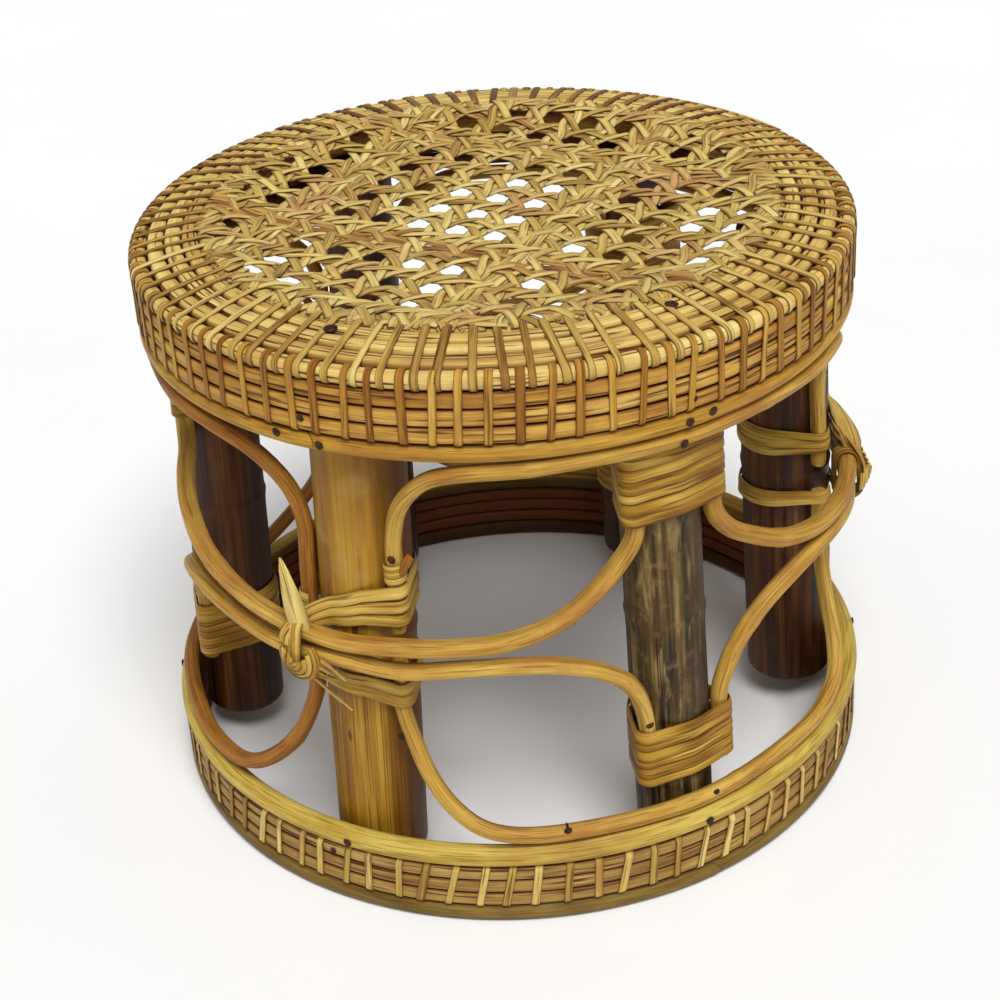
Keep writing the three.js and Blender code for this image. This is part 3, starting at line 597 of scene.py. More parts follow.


# A pole's skin: smooth above, worn to long fibres where its edge trait says, with painted shade on the
# side that its tint trait marks and the seat's painted shadow where its shade trait marks.
def makePole(name, look):
    material, tree, shader = newMaterial(name)
    worn, side, shade = traits(tree)
    broad = streaks(tree, look["broadAlong"], look["broadAcross"])
    fine = streaks(tree, look["fineAlong"], look["fineAcross"], 3.0)
    tone = ramp(tree, spreadOf(tree, ((broad, look["broad"], True),)), look["tones"])
    stain = patches(tree, look["patchSize"], *grainLook["poleStainRange"])
    tone = overlay(tree, stain, look["patch"], tone, look["patchTone"])
    pale = patches(tree, look["patchSize"] * grainLook["paleSize"], *grainLook["paleRange"])
    tone = overlay(tree, pale, look["pale"], tone, look["paleTone"])
    fleck = streaks(tree, grainLook["fleckAlong"], grainLook["fleckAcross"], 4.0)
    fleck = remap(tree, fleck, *grainLook["fleckRange"])
    tone = overlay(tree, fleck, look["fleck"], tone, look["paleTone"])
    lines = streaks(tree, look["fibreAlong"], look["fibreAcross"], 2.0)
    lines = remap(tree, lines, *grainLook["lineRange"])
    amount = remap(tree, worn, 0, 1, look["fibre"] * grainLook["smoothFibre"], look["fibre"])
    fibre = maths(tree, "MULTIPLY", lines, amount)
    tone = mix(tree, fibre, tone, colour(*look["darkTone"]))
    # Painted shade on one side of the leg, turned to the right.
    tone = overlay(tree, side, look["side"], tone, look["shadedSideTone"], True)
    spot = streaks(tree, grainLook["spotAlong"], grainLook["spotAcross"], 0.0)
    spot = remap(tree, spot, look["spot"], look["spot"] + grainLook["spotSoft"])
    tone = overlay(tree, spot, grainLook["spot"], tone, look["darkTone"])
    # Painted shadow of the seat on the leg's head.
    tone = overlay(tree, shade, grainLook["headShade"], tone, look["darkTone"])
    rough = roughness(tree, broad, look["rough"], grainLook["poleRough"])
    height = maths(tree, "SUBTRACT", maths(tree, "MULTIPLY", fine, 0.5), fibre)
    finishMaterial(tree, shader, tone, rough, grainLook["poleGloss"], height, look["depth"])
    return material


# Looks of the strands. Each row of tones is a place on the ramp from dark to light, then red, green and
# blue from 0 to 255. Along, Across and patchSize are waves per metre, depth is the bump in metres, and the
# rest are strengths. The edge values set painted shadow lines along strips' edges, and the shade values
# and crevice tone the painted shade in crevices.
strandLooks = {
    "caneSkin": {
        "tones": [(0.2, 122, 74, 22), (0.4, 175, 130, 50), (0.58, 202, 163, 74), (0.85, 224, 197, 112)],
        "broadAlong": 16.0, "broadAcross": 220.0, "broad": 0.65, "fineAlong": 40.0, "fineAcross": 1300.0,
        "fine": 0.5, "tint": 0.05, "patchSize": 20.0, "patch": 0.7, "patchTone": (164, 104, 48),
        "fibreAlong": 44.0, "fibreAcross": 1300.0, "fibre": 0.45, "darkTone": (84, 46, 10), "edge": 0.0,
        "edgePower": 2.0, "shade": 0.85, "creviceShadeTone": (66, 28, 6), "rough": 0.48, "depth": 0.00025,
        "gloss": 0.16,
    },
    "reedSkin": {
        "tones": [(0.2, 150, 104, 44), (0.38, 206, 168, 88), (0.58, 231, 201, 116), (0.85, 246, 226, 152)],
        "broadAlong": 14.0, "broadAcross": 260.0, "broad": 0.8, "fineAlong": 24.0, "fineAcross": 1500.0,
        "fine": 0.45, "tint": 0.1, "patchSize": 34.0, "patch": 0.6, "patchTone": (188, 138, 82),
        "fibreAlong": 22.0, "fibreAcross": 620.0, "fibre": 0.95, "darkTone": (84, 42, 14), "edge": 0.0,
        "edgePower": 2.0, "shade": 0.97, "creviceShadeTone": (106, 50, 14), "rough": 0.5, "depth": 0.0006,
        "gloss": 0.2,
    },
    "stripSkin": {
        "tones": [(0.2, 118, 74, 18), (0.4, 176, 136, 52), (0.6, 210, 176, 84), (0.85, 234, 209, 126)],
        "broadAlong": 20.0, "broadAcross": 360.0, "broad": 0.8, "fineAlong": 24.0, "fineAcross": 1800.0,
        "fine": 0.5, "tint": 0.14, "patchSize": 30.0, "patch": 0.55, "patchTone": (160, 108, 48),
        "fibreAlong": 30.0, "fibreAcross": 700.0, "fibre": 0.7, "darkTone": (82, 42, 12), "edge": 0.9,
        "edgePower": 5.0, "shade": 0.9, "creviceShadeTone": (66, 28, 6), "rough": 0.5, "depth": 0.0004,
        "gloss": 0.16,
    },
    "caningSkin": {
        "tones": [(0.16, 122, 80, 26), (0.36, 188, 152, 72), (0.58, 226, 198, 112), (0.85, 242, 224, 152)],
        "broadAlong": 20.0, "broadAcross": 340.0, "broad": 0.7, "fineAlong": 26.0, "fineAcross": 1500.0,
        "fine": 0.55, "tint": 0.17, "patchSize": 30.0, "patch": 0.65, "patchTone": (198, 146, 94),
        "fibreAlong": 30.0, "fibreAcross": 800.0, "fibre": 0.6, "darkTone": (84, 42, 8), "edge": 0.95,
        "edgePower": 4.5, "shade": 0.8, "creviceShadeTone": (96, 52, 20), "rough": 0.45, "depth": 0.0004,
        "gloss": 0.25,
    },
}

# Looks that start from another and change a few values.
strandChanges = {
    "seatCane": ("caneSkin", {
        "tones": [(0.2, 112, 64, 12), (0.4, 160, 113, 34), (0.58, 191, 148, 54), (0.85, 216, 180, 86)]}),
    "baseCane": ("caneSkin", {
        "tones": [(0.2, 134, 94, 28), (0.4, 182, 150, 58), (0.58, 209, 185, 90), (0.85, 228, 210, 122)],
        "patchTone": (166, 120, 54)}),
    "floorCane": ("caneSkin", {
        "tones": [(0.22, 62, 42, 12), (0.4, 98, 76, 30), (0.58, 130, 105, 46), (0.85, 160, 134, 72)],
        "patchTone": (104, 76, 32)}),
    "brownCane": ("caneSkin", {
        "tones": [(0.2, 92, 46, 10), (0.4, 138, 86, 28), (0.58, 172, 116, 44), (0.85, 200, 150, 72)],
        "patchTone": (128, 70, 28)}),
    "wallReed": ("reedSkin", {
        "tones": [(0.2, 112, 62, 14), (0.38, 170, 122, 44), (0.58, 206, 160, 70), (0.85, 230, 196, 108)],
        "patchTone": (150, 94, 40)}),
    "baseReed": ("reedSkin", {
        "tones": [(0.22, 96, 62, 24), (0.38, 152, 116, 56), (0.58, 184, 150, 80), (0.85, 212, 184, 112)],
        "patchTone": (132, 90, 44)}),
    "paleStrip": ("stripSkin", {
        "tones": [(0.2, 136, 102, 36), (0.4, 194, 162, 78), (0.6, 220, 194, 108), (0.85, 238, 218, 146)]}),
    "bindStrip": ("stripSkin", {
        "tones": [(0.15, 88, 50, 6), (0.38, 144, 102, 28), (0.6, 186, 146, 54), (0.85, 216, 184, 94)],
        "tint": 0.22, "edge": 0.95, "edgePower": 4.0}),
    "crownStrip": ("stripSkin", {
        "tones": [(0.12, 104, 66, 20), (0.36, 168, 130, 58), (0.6, 208, 176, 92), (0.9, 236, 214, 136)],
        "tint": 0.24}),
    "lashStrip": ("stripSkin", {
        "tones": [(0.12, 92, 44, 8), (0.36, 150, 98, 30), (0.6, 190, 142, 52), (0.9, 222, 184, 92)],
        "tint": 0.18}),
    "darkBand": ("caningSkin", {
        "tones": [(0.1, 116, 64, 22), (0.34, 176, 126, 60), (0.58, 212, 178, 94), (0.85, 234, 210, 132)],
        "tint": -0.17}),
}
poleLooks = {
    "tanPole": {
        "tones": [(0.25, 108, 66, 6), (0.42, 150, 104, 18), (0.6, 176, 133, 34), (0.85, 196, 160, 68)],
        "broadAlong": 6.0, "broadAcross": 150.0, "broad": 1.15, "fleck": 0.2, "fineAlong": 10.0,
        "fineAcross": 1100.0, "patchSize": 16.0, "patch": 0.5, "patchTone": (128, 78, 16), "pale": 0.4,
        "paleTone": (186, 154, 86), "fibreAlong": 8.0, "fibreAcross": 1500.0, "fibre": 0.7,
        "darkTone": (72, 38, 8), "side": 0.85, "shadedSideTone": (92, 46, 12), "spot": 0.83, "rough": 0.46,
        "depth": 0.0004,
    },
    "greyPole": {
        "tones": [(0.2, 34, 24, 10), (0.4, 74, 56, 26), (0.6, 108, 86, 44), (0.85, 160, 136, 82)],
        "broadAlong": 12.0, "broadAcross": 260.0, "broad": 1.5, "fleck": 0.6, "fineAlong": 14.0,
        "fineAcross": 1100.0, "patchSize": 60.0, "patch": 0.85, "patchTone": (66, 42, 20), "pale": 0.3,
        "paleTone": (168, 142, 86), "fibreAlong": 12.0, "fibreAcross": 620.0, "fibre": 0.9,
        "darkTone": (38, 22, 6), "side": 0.6, "shadedSideTone": (46, 32, 12), "spot": 0.8, "rough": 0.55,
        "depth": 0.0004,
    },
    "brownPole": {
        "tones": [(0.22, 40, 18, 4), (0.42, 72, 37, 10), (0.6, 104, 62, 22), (0.85, 140, 96, 46)],
        "broadAlong": 8.0, "broadAcross": 190.0, "broad": 1.25, "fleck": 0.3, "fineAlong": 12.0,
        "fineAcross": 1000.0, "patchSize": 20.0, "patch": 0.6, "patchTone": (42, 22, 6), "pale": 0.2,
        "paleTone": (104, 66, 26), "fibreAlong": 9.0, "fibreAcross": 420.0, "fibre": 0.6,
        "darkTone": (24, 10, 2), "side": 0.5, "shadedSideTone": (32, 14, 2), "spot": 0.82, "rough": 0.5,
        "depth": 0.0004,
    },
}
for name, (start, changes) in strandChanges.items():
    strandLooks[name] = {**strandLooks[start], **changes}
skins = {name: makeSkin(name, look) for name, look in strandLooks.items()}
skins.update({name: makePole(name, look) for name, look in poleLooks.items()})

ironLook = {"rustSize": 600.0, "rustRange": (0.45, 0.65), "dark": (40, 26, 16), "rust": (84, 52, 26),
            "rough": (0.5, 0.7), "gloss": 0.2, "metal": 0.15, "depth": 0.0001}


# Dark iron with patches of rust that are lighter and rougher.
def makeIron():
    material, tree, shader = newMaterial("nailIron")
    rust = patches(tree, ironLook["rustSize"], *ironLook["rustRange"])
    tone = mix(tree, rust, colour(*ironLook["dark"]), colour(*ironLook["rust"]))
    rough = remap(tree, rust, 0, 1, *ironLook["rough"])
    finishMaterial(tree, shader, tone, rough, ironLook["gloss"], rust, ironLook["depth"])
    shader.inputs["Metallic"].default_value = ironLook["metal"]
    return material


skins["nailIron"] = makeIron()
print("materials ready")


# Legs: round poles, a little out of round, with a small ridge at a node. shares gives the radius along the
# pole as shares of half its thickness, and bevel what the radius loses near an end. Lengths are
# millimetres.
poleLook = {
    "rows": 150, "sides": 56, "seed": 11,
    "shares": ((0, 0.3, 0.46, 0.49, 0.52, 1), (0.97, 0.99, 0.98, 1, 0.985, 0.97)),
    "bevelAt": (0, 0.4, 1.2, 2.5), "bevel": (1.6, 0.8, 0.2, 0),
    "ridge": 0.55, "ridgeAt": 0.495, "ridgeReach": 1.3,
    "uneven": 0.25, "unevenLevel": 0.6, "waves": (2, 3, 5), "swing": 0.6, "swingLength": 260,
    "wornFrom": (0.42, 0.52), "shadedSideTurn": 75, "shadedSideSpread": 2.2,
    "headShade": 0.8, "headFrom": 12, "headSoft": 10,
}
poleSkins = {"leg_front_left": ("tanPole", "pole_tan"), "leg_front_right": ("greyPole", "pole_grey")}


# A leg's radius is its share of the pole, less the bevel, plus the ridge and a few waves round it. The edge
# trait says where the skin is worn, the tint where one side gets painted shade, and the shade trait where
# the seat's shadow is painted on the head.
def addLeg(leg, number):
    rng = np.random.default_rng(poleLook["seed"] + number)
    ends = [onRing(*legMiddle(leg, height), height) for height in (stool["footHeight"], legTop)]
    length = np.linalg.norm(ends[1] - ends[0])
    near = np.array(poleLook["bevelAt"])
    rows = np.linspace(near[-1], length - near[-1], poleLook["rows"])
    along = np.concatenate([near[:-1], rows, length - near[-2::-1]])
    line = ends[0] + (ends[1] - ends[0]) * (along / length)[:, None]
    wide = np.interp(along / length, *poleLook["shares"]) * leg["pole"] / 2
    bevel = np.interp(np.minimum(along, length - along), near, poleLook["bevel"])
    fromRidge = (along / length - poleLook["ridgeAt"]) * length / poleLook["ridgeReach"]
    ridge = poleLook["ridge"] * np.exp(-fromRidge ** 2)
    angle, ring = circle(poleLook["sides"])
    bumps = 0
    for wave in poleLook["waves"]:
        phase = rng.uniform(0, randomTurn)
        swing = wander(along, rng, poleLook["swingLength"])[:, None] * poleLook["swing"]
        bumps = bumps + np.cos(angle * wave + phase + swing) / wave
    radius = (wide - bevel + ridge)[:, None] + poleLook["uneven"] * (bumps - poleLook["unevenLevel"])
    points, grain = carry(line, onRing(leg["turn"], 1, 0), ring * radius[..., None])
    worn = np.interp(along / length, poleLook["wornFrom"], (1, 0))[:, None]
    # Painted shade: the side turned to the right goes dark, and the head under the seat gets the seat's
    # shadow.
    facing = (points - line[:, None]) @ onRing(poleLook["shadedSideTurn"], 1, 0) / (leg["pole"] / 2)
    side = np.clip(facing * poleLook["shadedSideSpread"] - 1.0, 0, 1)
    head = np.clip((along - length + poleLook["headFrom"]) / poleLook["headSoft"], 0, 1)[:, None]
    look, slot = poleSkins.get(leg["name"], ("brownPole", "pole_brown"))
    parts = [skin(points, grain, rng, edge=worn, tint=side, shade=head * poleLook["headShade"])]
    addPiece(leg["name"] + "_pole", parts, skins[look], [leg["name"]])


for number, leg in enumerate(legs):
    addLeg(leg, number)
print("legs ready")


# Hoops: bent poles whose two ends are cut slantwise over a scarf in degrees, one lying outside the other.
# joints gives the turn where each cut starts. open gives the side that sees the light, as an angle up from
# straight outwards, and its spread; the rest of the pole's round gets painted shade.
hoopLook = {
    "rows": 540, "sides": 24, "scarf": 4.5, "slit": 0.1, "step": 0.35, "stepSoft": 0.4, "sway": 0.12,
    "heave": 0.1, "thinning": 0.012, "thinWaves": (3, 5, 9, 14), "seed": 31, "seedStep": 10,
    "joints": {"seat_hoop": -32.6, "seat_frame_hoop": 140, "base_top_hoop": 172, "base_floor_hoop": 25.8},
    "open": {"seat_hoop": (-20, 62), "seat_frame_hoop": (0, 180), "base_top_hoop": (40, 88),
             "base_floor_hoop": (-6, 60)},
}


# A hoop that sways a little round its ring. Over the scarf its start stays under a slanting ceiling and its
# end above a slanting ground, each running from one side of the pole to the other. flat keeps it above the
# floor.
def addHoop(name, radius, height, pole, material, flat=False):
    rng = np.random.default_rng(hoopLook["seed"] + int(pole * hoopLook["seedStep"]))
    start, scarf, slit = hoopLook["joints"][name], hoopLook["scarf"], hoopLook["slit"]
    turn = np.linspace(start, start + 360 + scarf, hoopLook["rows"])
    opening = (turn - start) / scarf
    closing = (turn - start - 360) / scarf
    step = hoopLook["step"] * np.clip(closing * hoopLook["stepSoft"] + 1, 0, 1)
    out = radius + ringWander(turn, rng) * hoopLook["sway"] + step - hoopLook["step"] / 2
    line = onRing(turn, out, height + ringWander(turn, rng) * hoopLook["heave"])
    thick = pole / 2 * (1 - hoopLook["thinning"] * (1 + ringWander(turn, rng, hoopLook["thinWaves"])))
    section = circle(hoopLook["sides"])[1] * thick[:, None, None]
    ceiling = np.where(opening < 1, pole * (opening - 0.5) - slit, pole)[:, None]
    ground = np.where(closing > 0, pole * (closing - 0.5) + slit, -pole)[:, None]
    cut = np.clip(section[..., 0], ground, ceiling)
    reach = np.sqrt(np.maximum(thick[:, None] ** 2 - np.clip(cut, -pole / 2, pole / 2) ** 2, 0))
    held = np.clip(section[..., 1], -reach, reach)
    section = np.stack([cut, np.where(cut == section[..., 0], section[..., 1], held)], -1)
    points, grain = carry(line, onRing(turn, 1, 0), section)
    if flat:
        points[..., 2] = np.maximum(points[..., 2], 0)
    # Painted shade on the sides that lie against its neighbours.
    deep = creviceShade(grain, *hoopLook["open"][name])
    addPiece(name + "_pole", [skin(points, grain, rng, shade=deep)], skins[material], [name])


addHoop("seat_hoop", reedRadius, seatHoopHeight, stool["seatHoopPole"], "seatCane")
addHoop("seat_frame_hoop", frameHoopRadius, frameHoopHeight, stool["frameHoopPole"], "caneSkin")
addHoop("base_top_hoop", baseHoopRadius, baseTopHeight, stool["baseTopPole"], "baseCane")
addHoop("base_floor_hoop", baseHoopRadius, floorHoopHeight, stool["baseFloorPole"], "floorCane", True)
print("hoops ready")


# Coils of reed: each turn keeps its level and climbs to the next over the last eighth of the turn.
coilLook = {
    "rows": 360, "sides": 20, "climb": 0.125, "seed": 51, "uneven": 0.16, "swayLength": 90,
    "heaveLength": 70, "thinning": 0.02, "thinLength": 60, "tintLength": 500, "soft": 20, "tipRows": 60,
    "tipThin": 0.08, "tipFit": 0.98, "shoulderOpen": (42, 96), "borderOpen": (90, 56), "wallOpen": (0, 42),
}


# Where a coil climbs, a tapered reed end fills the wedge beside its first turn and the one beside its last.
# Aside is the way out of the coil's face, outwards and up, in which the thin end stays level with the face.
def addCoilTips(name, turns, reed, startTurn, placeOf, material, openOf, square, aside):
    rng = np.random.default_rng(coilLook["seed"] + startTurn + 1)
    grow = np.linspace(coilLook["tipThin"], 1, coilLook["tipRows"])
    shrink = grow[::-1]
    tips = []
    wedges = (grow, grow / 2 - 0.5, grow), (shrink, turns - 0.5 - shrink / 2, 1 - shrink)
    for share, level, climbed in wedges:
        turn = startTurn - 360 * coilLook["climb"] * (1 - climbed)
        radius, height = placeOf(level)
        inset = reed / 2 * (1 - share)
        line = onRing(turn, radius + inset * aside[0], height + inset * aside[1])
        thick = reed / 2 * share * coilLook["tipFit"]
        section = reedSection(thick, coilLook["sides"], np.full(len(grow), square[1]))
        points, grain = carry(line, onRing(turn, 1, 0), section)
        side, spread = openOf(level[:, None])
        # Painted shade in the crevices, as on the coil.
        tips.append(skin(points, grain, rng, shade=creviceShade(grain, side, spread, coilLook["soft"])))
    addPiece(name + "_tips", tips, skins[material])


# One long reed wound round and round. Its level is the whole number of turns so far, and over the climb's
# share of each turn it goes evenly to the next. placeOf gives the radius and height of a level, openOf the
# side that sees the light there, and square the powers of the first turn's section and of the others'.
# Away from the open side the reed gets painted shade in the crevices between turns.
def addCoil(name, turns, reed, startTurn, placeOf, material, openOf, square=(0.56, 0.56), aside=(1, 0)):
    rng = np.random.default_rng(coilLook["seed"] + startTurn)
    count = np.linspace(0, turns - coilLook["climb"], turns * coilLook["rows"])
    whole = np.floor(count)
    level = whole + np.maximum(count - whole - 1 + coilLook["climb"], 0) / coilLook["climb"]
    run = count * 360
    turn = startTurn + run
    radius, height = placeOf(level)
    sway = wander(run, rng, coilLook["swayLength"]) * coilLook["uneven"]
    heave = wander(run, rng, coilLook["heaveLength"]) * coilLook["uneven"]
    thick = reed / 2 * (1.0 - coilLook["thinning"] * (1 + wander(run, rng, coilLook["thinLength"])))
    section = reedSection(thick, coilLook["sides"], np.interp(level, [0, 1], square))
    points, grain = carry(onRing(turn, radius + sway, height + heave), onRing(turn, 1, 0), section)
    side, spread = openOf(level[:, None])
    tint = wander(run, rng, coilLook["tintLength"])[:, None]
    # Painted shade in the crevices between neighbouring turns.
    shade = creviceShade(grain, side, spread, coilLook["soft"])
    parts = [skin(points, grain, rng, tint=tint, shade=shade)]
    addPiece(name + "_reed", parts, skins[material], [name])
    addCoilTips(name, turns, reed, startTurn, placeOf, material, openOf, square, aside)


# A level of the border lies one step further in, on the crown's curve.
def borderPlace(level):
    radius = reedRadius - level * borderReedStep
    return radius, borderHeight(radius)


# A level of the seat wall lies one step further up.
def wallPlace(level):
    return reedRadius + 0 * level, wallHeight + level * wallReedStep


# The same in the base ring.
def basePlace(level):
    return baseHoopRadius + 0 * level, baseCoilHeight + level * baseReedStep


# The shoulder reed is open to the light above and outside, the others of the border above only. The rest
# of their round gets painted shade.
def borderOpen(level):
    share = np.clip(level, 0, 1)
    pairs = zip(coilLook["shoulderOpen"], coilLook["borderOpen"])
    return [first + (then - first) * share for first, then in pairs]


# Reeds that stand above each other are open to the light outside only, and get painted shade round the
# rest.
def wallOpen(level):
    return [value + 0 * level for value in coilLook["wallOpen"]]


addCoil("seat_border_coil", stool["borderTurns"], stool["borderReed"], 160, borderPlace, "reedSkin",
        borderOpen, (0.82, 0.5), (0, 1))
addCoil("seat_wall_coil", stool["wallTurns"], stool["wallReed"], 200, wallPlace, "wallReed", wallOpen)
addCoil("base_coil", stool["baseTurns"], stool["baseReed"], 100, basePlace, "baseReed", wallOpen)
print("reeds ready")


# Canes between the legs. Each row of a path is a free point: how far along the span it lies, how high from
# the bows up to the arches, and how far out to the ring's face, as shares. Ends are the heights where a
# cane is held beside a leg, as shares.
caneLayout = {
    "archPath": [[0.04, 0.865, 0.15], [0.12, 0.93, 0.45], [0.2, 0.968, 0.75], [0.32, 0.99, 1],
                 [0.6, 0.996, 1]],
    "bowPath": [[0.04, 0.235, 0.12], [0.1, 0.15, 0.35], [0.19, 0.08, 0.68], [0.3, 0.03, 0.93],
                [0.42, 0.008, 1], [0.65, 0.003, 1]],
    "garlandPath": [[0.2, 0.533, 0.98], [0.38, 0.541, 0.95], [0.55, 0.552, 0.85], [0.72, 0.582, 0.6],
                    [0.84, 0.628, 0.33], [0.94, 0.682, 0.1]],
    "lowerArchPath": [[0.2, 0.468, 0.98], [0.4, 0.485, 0.95], [0.58, 0.486, 0.83], [0.72, 0.464, 0.62],
                      [0.84, 0.42, 0.34], [0.94, 0.352, 0.12]],
    "archEnds": [0.53, 0.65, 0.78], "bowEnds": [0.45, 0.385, 0.32], "garlandEnds": [0.75, 0.86, 0.965],
    "lowerArchEnds": [0.24, 0.14, 0.05],
}
caneLook = {
    "rows": 170, "sides": 24, "seed": 71, "run": 300, "bevel": 0.5, "uneven": 0.08, "unevenLength": 120,
    "flutes": 3, "fluteLevel": 0.3, "fluteDepth": 0.42, "oval": 0.1, "inset": 0.12,
    "knuckles": 2, "knuckle": 0.28, "knuckleReach": 2.2, "knuckleWithin": (20, 280), "seedStep": 7,
    "grooveFrom": 0.2, "grooveSteep": 3.2, "grooveShade": 0.35,
}


# A bent cane: a round section, slightly oval and with three shallow ridges along its length, swelling at
# two nodes. The grooves between the ridges get painted shade.
def addCane(name, points, cane, number, material="caneSkin"):
    rng = np.random.default_rng(caneLook["seed"] + number)
    line = smoothLine(points, caneLook["rows"])
    run = np.linspace(0, 1, caneLook["rows"]) * caneLook["run"]
    angle, ring = circle(caneLook["sides"])
    flutes = np.cos(angle * caneLook["flutes"] + rng.uniform(0, randomTurn))
    ridges = -np.maximum(flutes, caneLook["fluteLevel"]) * caneLook["fluteDepth"]
    ridges = ridges + np.cos(angle * 2) * caneLook["oval"] + caneLook["inset"]
    knuckle = sum(caneLook["knuckle"] * np.exp(-((run - at) / caneLook["knuckleReach"]) ** 2)
                  for at in rng.uniform(*caneLook["knuckleWithin"], caneLook["knuckles"]))
    uneven = wander(run, rng, caneLook["unevenLength"]) * caneLook["uneven"]
    radius = cane / 2 - caneLook["inset"] + knuckle + uneven
    bevel = np.zeros((len(run), 1))
    bevel[[0, -1]] = caneLook["bevel"]
    section = ring * (radius[:, None] + ridges - bevel)[..., None]
    made, grain = carry(line, line * [1, 1, 0], section)
    groove = np.clip(-ridges * caneLook["grooveSteep"] - caneLook["grooveFrom"], 0, 1)
    parts = [skin(made, grain, rng, shade=groove * caneLook["grooveShade"])]
    addPiece(name + "_cane", parts, skins[material], [name])
    return line


# Where two canes cross a knot leg, one above the other: the height and radius of each. Their middles lie
# half a leg, the room for the knot's bands and half their own thickness outside the leg's middle.
def crossing(leg):
    upper = heightOf(stool["crossingShare"])
    lower = upper - (stool["garlandCane"] + stool["lowerArchCane"]) / 2 - stool["fitGap"]
    under = stool["bandStrip"] + 3 * stool["fitGap"] + stool["bandSlack"]
    return [(height, legMiddle(leg, height)[1] + leg["pole"] / 2 + under + cane / 2)
            for height, cane in ((upper, stool["garlandCane"]), (lower, stool["lowerArchCane"]))]


# The arch and the bow over one binding leg: two halves of a path, joined at a point on the ring before that
# leg.
def addBindingSpan(number, leg):
    spans = [(nextTo(leg, -1), leg), (nextTo(leg, 1), leg)]
    archRadius = reedRadius + (stool["archCane"] - stool["seatHoopPole"]) / 2
    bowRadius = baseHoopRadius - (stool["baseTopPole"] - stool["bowCane"]) / 2
    material = "brownCane" if leg["name"] == "leg_left" else "caneSkin"
    for label, cane, radius, height in (("upper_arch", "arch", archRadius, archHeight),
                                        ("lower_bow", "bow", bowRadius, bowHeight)):
        ends, path, thick = caneLayout[cane + "Ends"], caneLayout[cane + "Path"], stool[cane + "Cane"]
        first, last = [halfPath(end, other, thick, radius, ends, path) for end, other in spans]
        points = first + [onRing(leg["turn"], radius, height)] + last[::-1]
        addCane(f"{label}_{number}", points, thick, number + len(cane) * caneLook["seedStep"], material)


# The garland and the lower arch over one knot leg, joined where they cross it. Returns their lines.
def addKnotSpan(number, leg):
    lines = []
    turn = legMiddle(leg, heightOf(stool["crossingShare"]))[0]
    canes = ("upper_garland", "garland", "garlandLift"), ("lower_arch", "lowerArch", "archLift")
    for (label, cane, lift), (height, radius) in zip(canes, crossing(leg)):
        ends, path, thick = caneLayout[cane + "Ends"], caneLayout[cane + "Path"], stool[cane + "Cane"]
        first, last = [halfPath(nextTo(leg, step), leg, thick, radius, ends, path, leg, leg[lift][half])
                       for half, step in enumerate((-1, 1))]
        points = first + [onRing(turn, radius, height)] + last[::-1]
        seed = number + len(cane) * caneLook["seedStep"]
        lines.append(addCane(f"{label}_{number}", points, thick, seed))
    return lines


bindingLegs = [leg for leg in legs if not leg["knot"]]
knotLegs = [leg for leg in legs if leg["knot"]]
for number, leg in enumerate(bindingLegs, 1):
    addBindingSpan(number, leg)
knotLines = [addKnotSpan(number, leg) for number, leg in enumerate(knotLegs, 1)]
print("canes ready")


# The cane seat: strips woven in four directions round a square lattice of holes. Lengths are millimetres.
# pitch is the step of the lattice, turn and shift its place, and sway how far the outer strips of a line
# swing aside.
weaveLook = {
    "pitch": 20.6, "turn": 29.5, "shift": (-0.17, -0.36), "lines": 7, "rows": 170, "seed": 91,
    "edgeRadius": 140.2, "edgeSpread": 1.4, "lineMargin": 9, "stripMargin": 12,
    "width": 4.8, "widths": (0.84, 1.1), "thickness": 0.45, "bow": 0.08, "sway": 2.85,
    "wobble": 0.3, "wobbleLength": 120, "uneven": 0.08, "unevenLength": 40,
    "rise": (-0.35, 0.0, 0.8), "straightDrop": 0.35, "straightWave": 0.9,
    "diagonals": 11, "diagonalRise": 0.8, "diagonalSteep": 1.8, "diagonalWidth": 4.6,
    "closedPeriod": 6, "closedColumn": 2, "closedRow": 4, "closedRise": 0.55, "closedSteep": 2,
    "closedStrips": 4, "closedWidth": 5.0, "closedSpacing": 3.5, "closedWave": 1.5, "closedPhase": 2.1,
    "closedLevel": 0.1, "darkTint": 0.7,
    "overReed": 0.9, "climbFrom": 34, "climbReach": 33, "dipFrom": 1.2, "dip": 0.14,
    "calmFrom": 128, "calmReach": 7, "calm": 0.65,
    "underShadeFrom": 0.1, "underShadeReach": 2.2, "edgeShadeFrom": 139, "edgeShadeReach": 3, "edgeShade": 0.7,
}
rimLook = {"strips": 240, "rows": 16, "from": 128.5, "to": 140.5, "shift": 1.2, "slant": 4, "drop": 0.9,
           "thickness": 0.6, "bow": 0.12, "shade": 0.15}


# The woven sheet is level over the middle and climbs onto the innermost reed. Past the reed it dips into the
# groove by the square of the distance.
def weaveLevel(radius):
    reed = reedRadius - (stool["borderTurns"] - 1) * borderReedStep
    top = float(borderHeight(reed)) + stool["borderReed"] / 2 + weaveLook["overReed"]
    climb = ease(np.clip((radius - reed + weaveLook["climbFrom"]) / weaveLook["climbReach"], 0, 1))
    dip = np.maximum(radius - reed - weaveLook["dipFrom"], 0) ** 2 * weaveLook["dip"]
    return weaveHeight + (top - weaveHeight) * climb - dip
